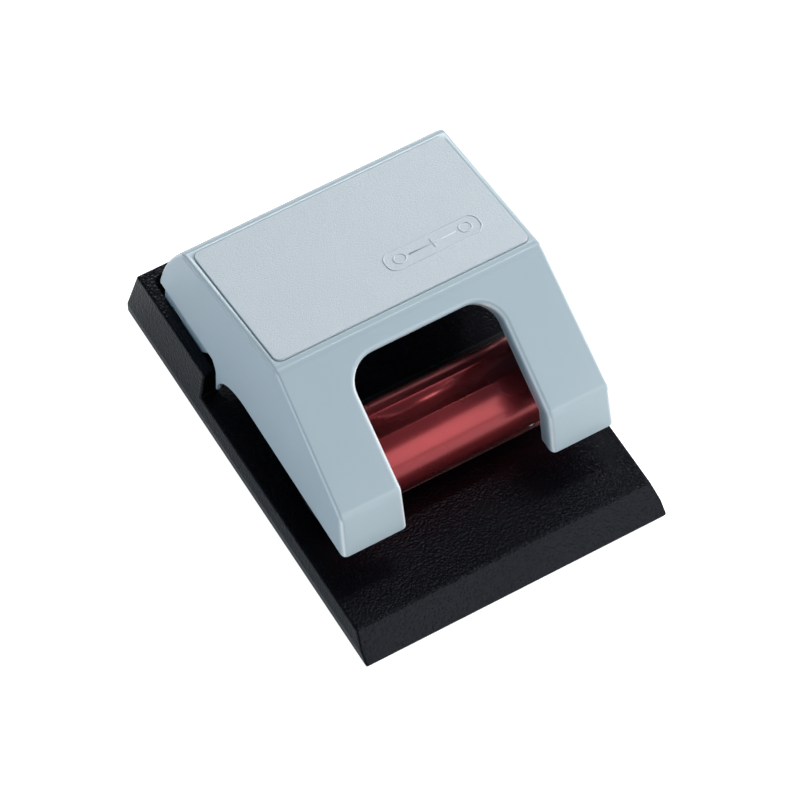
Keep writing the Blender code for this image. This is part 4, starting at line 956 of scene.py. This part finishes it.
# For each bore: its radius, and how low and how high its cutter reaches, in millimetres.
BORES_MM = ((4.4, 29.5, 46.0), (4.1, 10.0, 30.5))
outer, tube_half = TUBE_RADIUS, TUBE_HIGH.x
rounded_end = [
    (outer - TUBE_LIP, tube_half),
    (outer - LIP_MIDDLE, tube_half - LIP_MIDDLE),
    (outer, tube_half - TUBE_LIP),
]
other_end = [(radius, -along) for radius, along in reversed(rounded_end)]
inner_wall = [(outer - TUBE_WALL, -tube_half), (outer - TUBE_WALL, tube_half)]
tube_profile = rounded_end + other_end + inner_wall
tube = lathe("round_housing", tube_profile, TUBE_CENTRE, "X", 192)
tube.data.set_sharp_from_angle(angle=math.radians(50))
cutters = []
for side_name, side in SIDES:
    for radius, low, high in BORES_MM:
        ring = arc((side * PIN_X, TUBE_CENTRE.y), radius * MM, 0, 360, 64)[:-1]
        cutters.append(prism("bore_cutter", ring, low * MM, high * MM, lambda u, v, w: (u, v, w)))
for cutter in cutters:
    cut_with(tube, cutter, "bore")
finish_piece(tube, RED_LACQUER, "base", "tube_lacquer", "punch_tube")
apply_modifiers(tube, *cutters)
print("tube:", len(tube.data.polygons), "faces")

# %% [markdown]
# ## The return springs
#
# A spring gets shorter as its pin goes down, which a piece that rides on one body can't do. Here each
# spring is its own coil of wire, a round section swept along a helix, whose end turns lie almost flat; it
# rides on the base at its rest length.

# %% Coil the springs
SPRING_TURNS, WIRE_RADIUS, WIRE_SIDES, STEPS_PER_TURN = 7, 0.4 * MM, 10, 40
END_TURN_CLIMB = 2.3 * WIRE_RADIUS


def helix_height(share, rise):
    """How far up the spring a share of its wire has climbed. The two end turns climb little."""
    end, flat = 1.0 / SPRING_TURNS, END_TURN_CLIMB
    if share < end:
        return flat * share / end
    if share > 1.0 - end:
        return rise - flat * (1.0 - share) / end
    return flat + (rise - 2 * flat) * (share - end) / (1.0 - 2 * end)


def coil(name, low, high):
    """A coil spring that fills the box from low to high."""
    centre_x, centre_y = (low.x + high.x) / 2, (low.y + high.y) / 2
    radius = (high.x - low.x) / 2 - WIRE_RADIUS
    rise = high.z - low.z - 2 * WIRE_RADIUS
    count = SPRING_TURNS * STEPS_PER_TURN
    points, faces = [], []
    for i in range(count + 1):
        turn = 2 * math.pi * i / STEPS_PER_TURN
        out = Vector((math.cos(turn), math.sin(turn), 0.0))
        height = low.z + WIRE_RADIUS + helix_height(i / count, rise)
        middle = Vector((centre_x, centre_y, height)) + out * radius
        for k in range(WIRE_SIDES):
            around = 2 * math.pi * k / WIRE_SIDES
            from_wire = out * math.cos(around) + Vector((0, 0, math.sin(around)))
            points.append(middle + from_wire * WIRE_RADIUS)
    for i in range(count):
        for k in range(WIRE_SIDES):
            here, beside = i * WIRE_SIDES + k, i * WIRE_SIDES + (k + 1) % WIRE_SIDES
            faces.append((here, beside, beside + WIRE_SIDES, here + WIRE_SIDES))
    faces += [tuple(range(WIRE_SIDES)), tuple(range(count * WIRE_SIDES, (count + 1) * WIRE_SIDES))]
    return face_outward(mesh_piece(name, points, faces))


print("a coil has", SPRING_TURNS, "turns of", round(2 * WIRE_RADIUS / MM, 1), "mm wire")

# %% Stand the springs on the base
for side_name, side in SIDES:
    low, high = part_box(f"punch_spring_{side_name}")
    spring = coil(f"return_spring_{side_name}", low, high)
    finish_piece(spring, SPRING_STEEL, "base", "ground_steel", f"punch_spring_{side_name}")
    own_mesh(spring)

# %% [markdown]
# ## The parts that keep their CAD shape
#
# Base, tray, saddle, bracket, pins, plates and screws are already right in shape. Each
# gets its finish, and modifiers that only improve how it takes the light: Weld joins the points
# that the file format splits, a small Bevel rounds what is sharp, and Weighted Normal evens
# the shading.

# %% Finishes for the carried-over nodes
CARRIED = (
    (BASE_PLASTIC, 0.35, ("base_housing", "chip_tray")),
    (BLACK_METAL, 0.25, ("punch_saddle", "pivot_bracket", "guide_block_left", "guide_block_right")),
    (GROUND_STEEL, 0.12, ("die_plate", "pivot_shaft", "press_plate_left", "press_plate_right")),
    (GROUND_STEEL, 0.12, ("guide_sleeve_left", "guide_sleeve_right", "punch_pin_left", "punch_pin_right")),
    (GROUND_STEEL, 0.1, ("shaft_clip_left", "shaft_clip_right")),
    (NYLON, 0.15, ("lever_bush_left", "lever_bush_right")),
    (RUBBER, 0.0, tuple(n for n in NODES if n.startswith("foot_"))),
    (ZINC_PLATE, 0.1, tuple(n for n in NODES if "screw" in n or n.startswith("spring_collar"))),
)


WELD_DISTANCE = 0.002 * MM


def carry_over(name, material, width_mm):
    """A CAD node keeps its mesh, and gets a finish and modifiers for its edges and shading."""
    node = NODES[name]
    node.data.materials.clear()
    node.data.materials.append(material)
    weld = node.modifiers.new("weld", "WELD")
    weld.merge_threshold = WELD_DISTANCE
    if width_mm:
        soften(node, width_mm * MM, 2, 35)
    return node


for material, width_mm, names in CARRIED:
    for name in names:
        carry_over(name, material, width_mm)
print(sum(len(names) for _, _, names in CARRIED), "nodes carried over")

# %% [markdown]
# ## Floor and sky
#
# The punch stands on a plain white floor under a plain white sky. Both are fully bright only for
# the camera: the Light Path node tells a ray that comes straight from it from one that has bounced.
# So the ground is pure white, while the black base has little to mirror and stays black. The
# Backfacing output lets a camera below the table look through the floor.

# %% The floor
FLOOR_SIZE, FLOOR_GLOW, CAMERA_GLOW = 3.0, 0.23, 1.0
FLOOR_CORNERS = [(x * FLOOR_SIZE, y * FLOOR_SIZE, 0) for x, y in ((-1, -1), (1, -1), (1, 1), (-1, 1))]
floor = mesh_piece("floor", FLOOR_CORNERS, [(0, 1, 2, 3)])
floor_paint = bpy.data.materials.new("white_floor")
floor_paint.use_nodes = True
tree = floor_paint.node_tree
floor_shader = tree.nodes["Principled BSDF"]
floor_shader.inputs["Base Color"].default_value = (0.92, 0.92, 0.92, 1.0)
floor_shader.inputs["Roughness"].default_value = 0.9
floor_shader.inputs["Specular IOR Level"].default_value = 0.1
floor_shader.inputs["Emission Color"].default_value = WHITE
seen = add(tree, "ShaderNodeLightPath").outputs["Is Camera Ray"]
glow = add(tree, "ShaderNodeMapRange", {"Value": seen, "To Min": FLOOR_GLOW, "To Max": CAMERA_GLOW})
tree.links.new(glow.outputs["Result"], floor_shader.inputs["Emission Strength"])
below = add(tree, "ShaderNodeNewGeometry").outputs["Backfacing"]
clear = add(tree, "ShaderNodeBsdfTransparent").outputs[0]
choose = add(tree, "ShaderNodeMixShader", {0: below, 1: floor_shader.outputs[0], 2: clear})
tree.links.new(choose.outputs[0], tree.nodes["Material Output"].inputs["Surface"])
floor.data.materials.append(floor_paint)
print("floor:", 2 * FLOOR_SIZE, "m wide")

# %% The sky
SKY = (0.092, 0.117, 0.140, 1.0)
world = bpy.context.scene.world or bpy.data.worlds.new("studio")
bpy.context.scene.world = world
world.use_nodes = True
tree = world.node_tree
background = tree.nodes["Background"]
seen = add(tree, "ShaderNodeLightPath").outputs["Is Camera Ray"]
tree.links.new(mix_colours(tree, seen, SKY, WHITE), background.inputs["Color"])
background.inputs["Strength"].default_value = 1.0
print("sky:", SKY[:3])

# %% [markdown]
# ## The lights
#
# The light is a studio's. The key is a soft box at the right. A large box in front lays the
# broad streak on the tube, and a narrow strip overhead lays the thin one. A wide box behind
# gives the panel its sheen. Two small bluish boxes at the left light the side.
#
# Each box is placed by its direction and distance from the middle of the punch, and it faces
# that middle.

# %% A soft box and where it stands
MIDDLE = Vector((0.0, 0.0, 0.04))
UP = Vector((0.0, 0.0, 1.0))


def from_direction(azimuth, elevation, distance):
    """A place seen from the middle: azimuth 0 is the front, positive to the right, in degrees."""
    turn, lift = math.radians(azimuth), math.radians(elevation)
    flat = distance * math.cos(lift)
    return MIDDLE + Vector((flat * math.sin(turn), -flat * math.cos(turn), distance * math.sin(lift)))


def soft_box(name, place, size, power, colour, across):
    """A rectangular light that faces the middle. across is the direction of its width."""
    light = bpy.data.lights.new(name, "AREA")
    light.shape = "RECTANGLE"
    light.size, light.size_y = size
    light.energy = power
    light.color = colour
    obj = bpy.data.objects.new(name, light)
    bpy.context.scene.collection.objects.link(obj)
    obj.location = place
    back = (place - MIDDLE).normalized()
    wide = across or UP.cross(back)
    wide = (wide - back * wide.dot(back)).normalized()
    obj.rotation_euler = Matrix((wide, back.cross(wide), back)).transposed().to_euler()
    return obj


print("the lights face", [round(v / MM) for v in MIDDLE], "mm")

# %% Set up the lights
NEUTRAL, BLUISH, PALE_BLUE = (1.0, 1.0, 1.0), (0.38, 0.73, 1.0), (0.58, 0.83, 1.0)
LEVEL, SIDE_TO_SIDE = None, Vector((1.0, 0.0, 0.0))
# Name, direction (azimuth, elevation, distance in metres), size in metres, watts, colour, width.
LIGHTS = (
    ("key", (80, 35, 1.3), (0.60, 0.50), 13.0, NEUTRAL, LEVEL),
    ("front_box", (17, 23, 1.2), (0.80, 0.90), 3.6, NEUTRAL, LEVEL),
    ("rear_wide", (160, 28, 1.4), (0.80, 0.30), 6.0, NEUTRAL, LEVEL),
    ("top_strip", (116, 72.6, 1.2), (0.35, 0.09), 0.85, NEUTRAL, SIDE_TO_SIDE),
    ("left_fill", (-105, 24, 1.2), (0.50, 0.40), 1.2, BLUISH, LEVEL),
    ("left_strip", (-76, 12, 1.2), (0.16, 0.40), 1.5, PALE_BLUE, LEVEL),
)
for name, direction, size, power, colour, across in LIGHTS:
    soft_box(name, from_direction(*direction), size, power, colour, across)
print(len(LIGHTS), "soft boxes,", round(sum(light[3] for light in LIGHTS), 1), "W in all")

# %% [markdown]
# ## The camera
#
# The camera looks down from the front left corner with a long lens, so that the edges stay
# nearly parallel. Its place is given by three directions: right, up and back as it sees them.
#
# The Standard view transform is used because it keeps a white floor white and a black base
# black, where a film-like one would pull both towards grey.

# %% The camera
VIEW_RIGHT = Vector((0.8629, -0.5054, 0.0))
VIEW_UP = Vector((0.4257, 0.7268, 0.5390))
VIEW_BACK = Vector((-0.2724, -0.4651, 0.8423))
LENS_MM, SENSOR_MM = 225.5, 36.0
# The numbers below suit a base 110 mm wide. This one is 112 mm wide, so they grow with it.
SCALE = 112.0 / 110.0
CENTRE = Vector((0.0, -0.0025, 0.030)) + VIEW_RIGHT * 0.000862 - VIEW_UP * 0.01034
DISTANCE = 1.5844
camera_data = bpy.data.cameras.new("camera")
camera_data.lens = LENS_MM
camera_data.sensor_width = SENSOR_MM
camera_data.clip_start, camera_data.clip_end = 0.05, 20.0
camera = bpy.data.objects.new("camera", camera_data)
bpy.context.scene.collection.objects.link(camera)
camera.location = (CENTRE + VIEW_BACK * DISTANCE) * SCALE
camera.rotation_mode = "QUATERNION"
camera.rotation_quaternion = Matrix((VIEW_RIGHT, VIEW_UP, VIEW_BACK)).transposed().to_quaternion()
bpy.context.scene.camera = camera
bpy.context.scene.view_settings.view_transform = "Standard"
print("camera at", [round(v, 3) for v in camera.location])

# %% [markdown]
# ## The end
#
# Last, the view layer is updated once.

# %% Finish
bpy.context.view_layer.update()
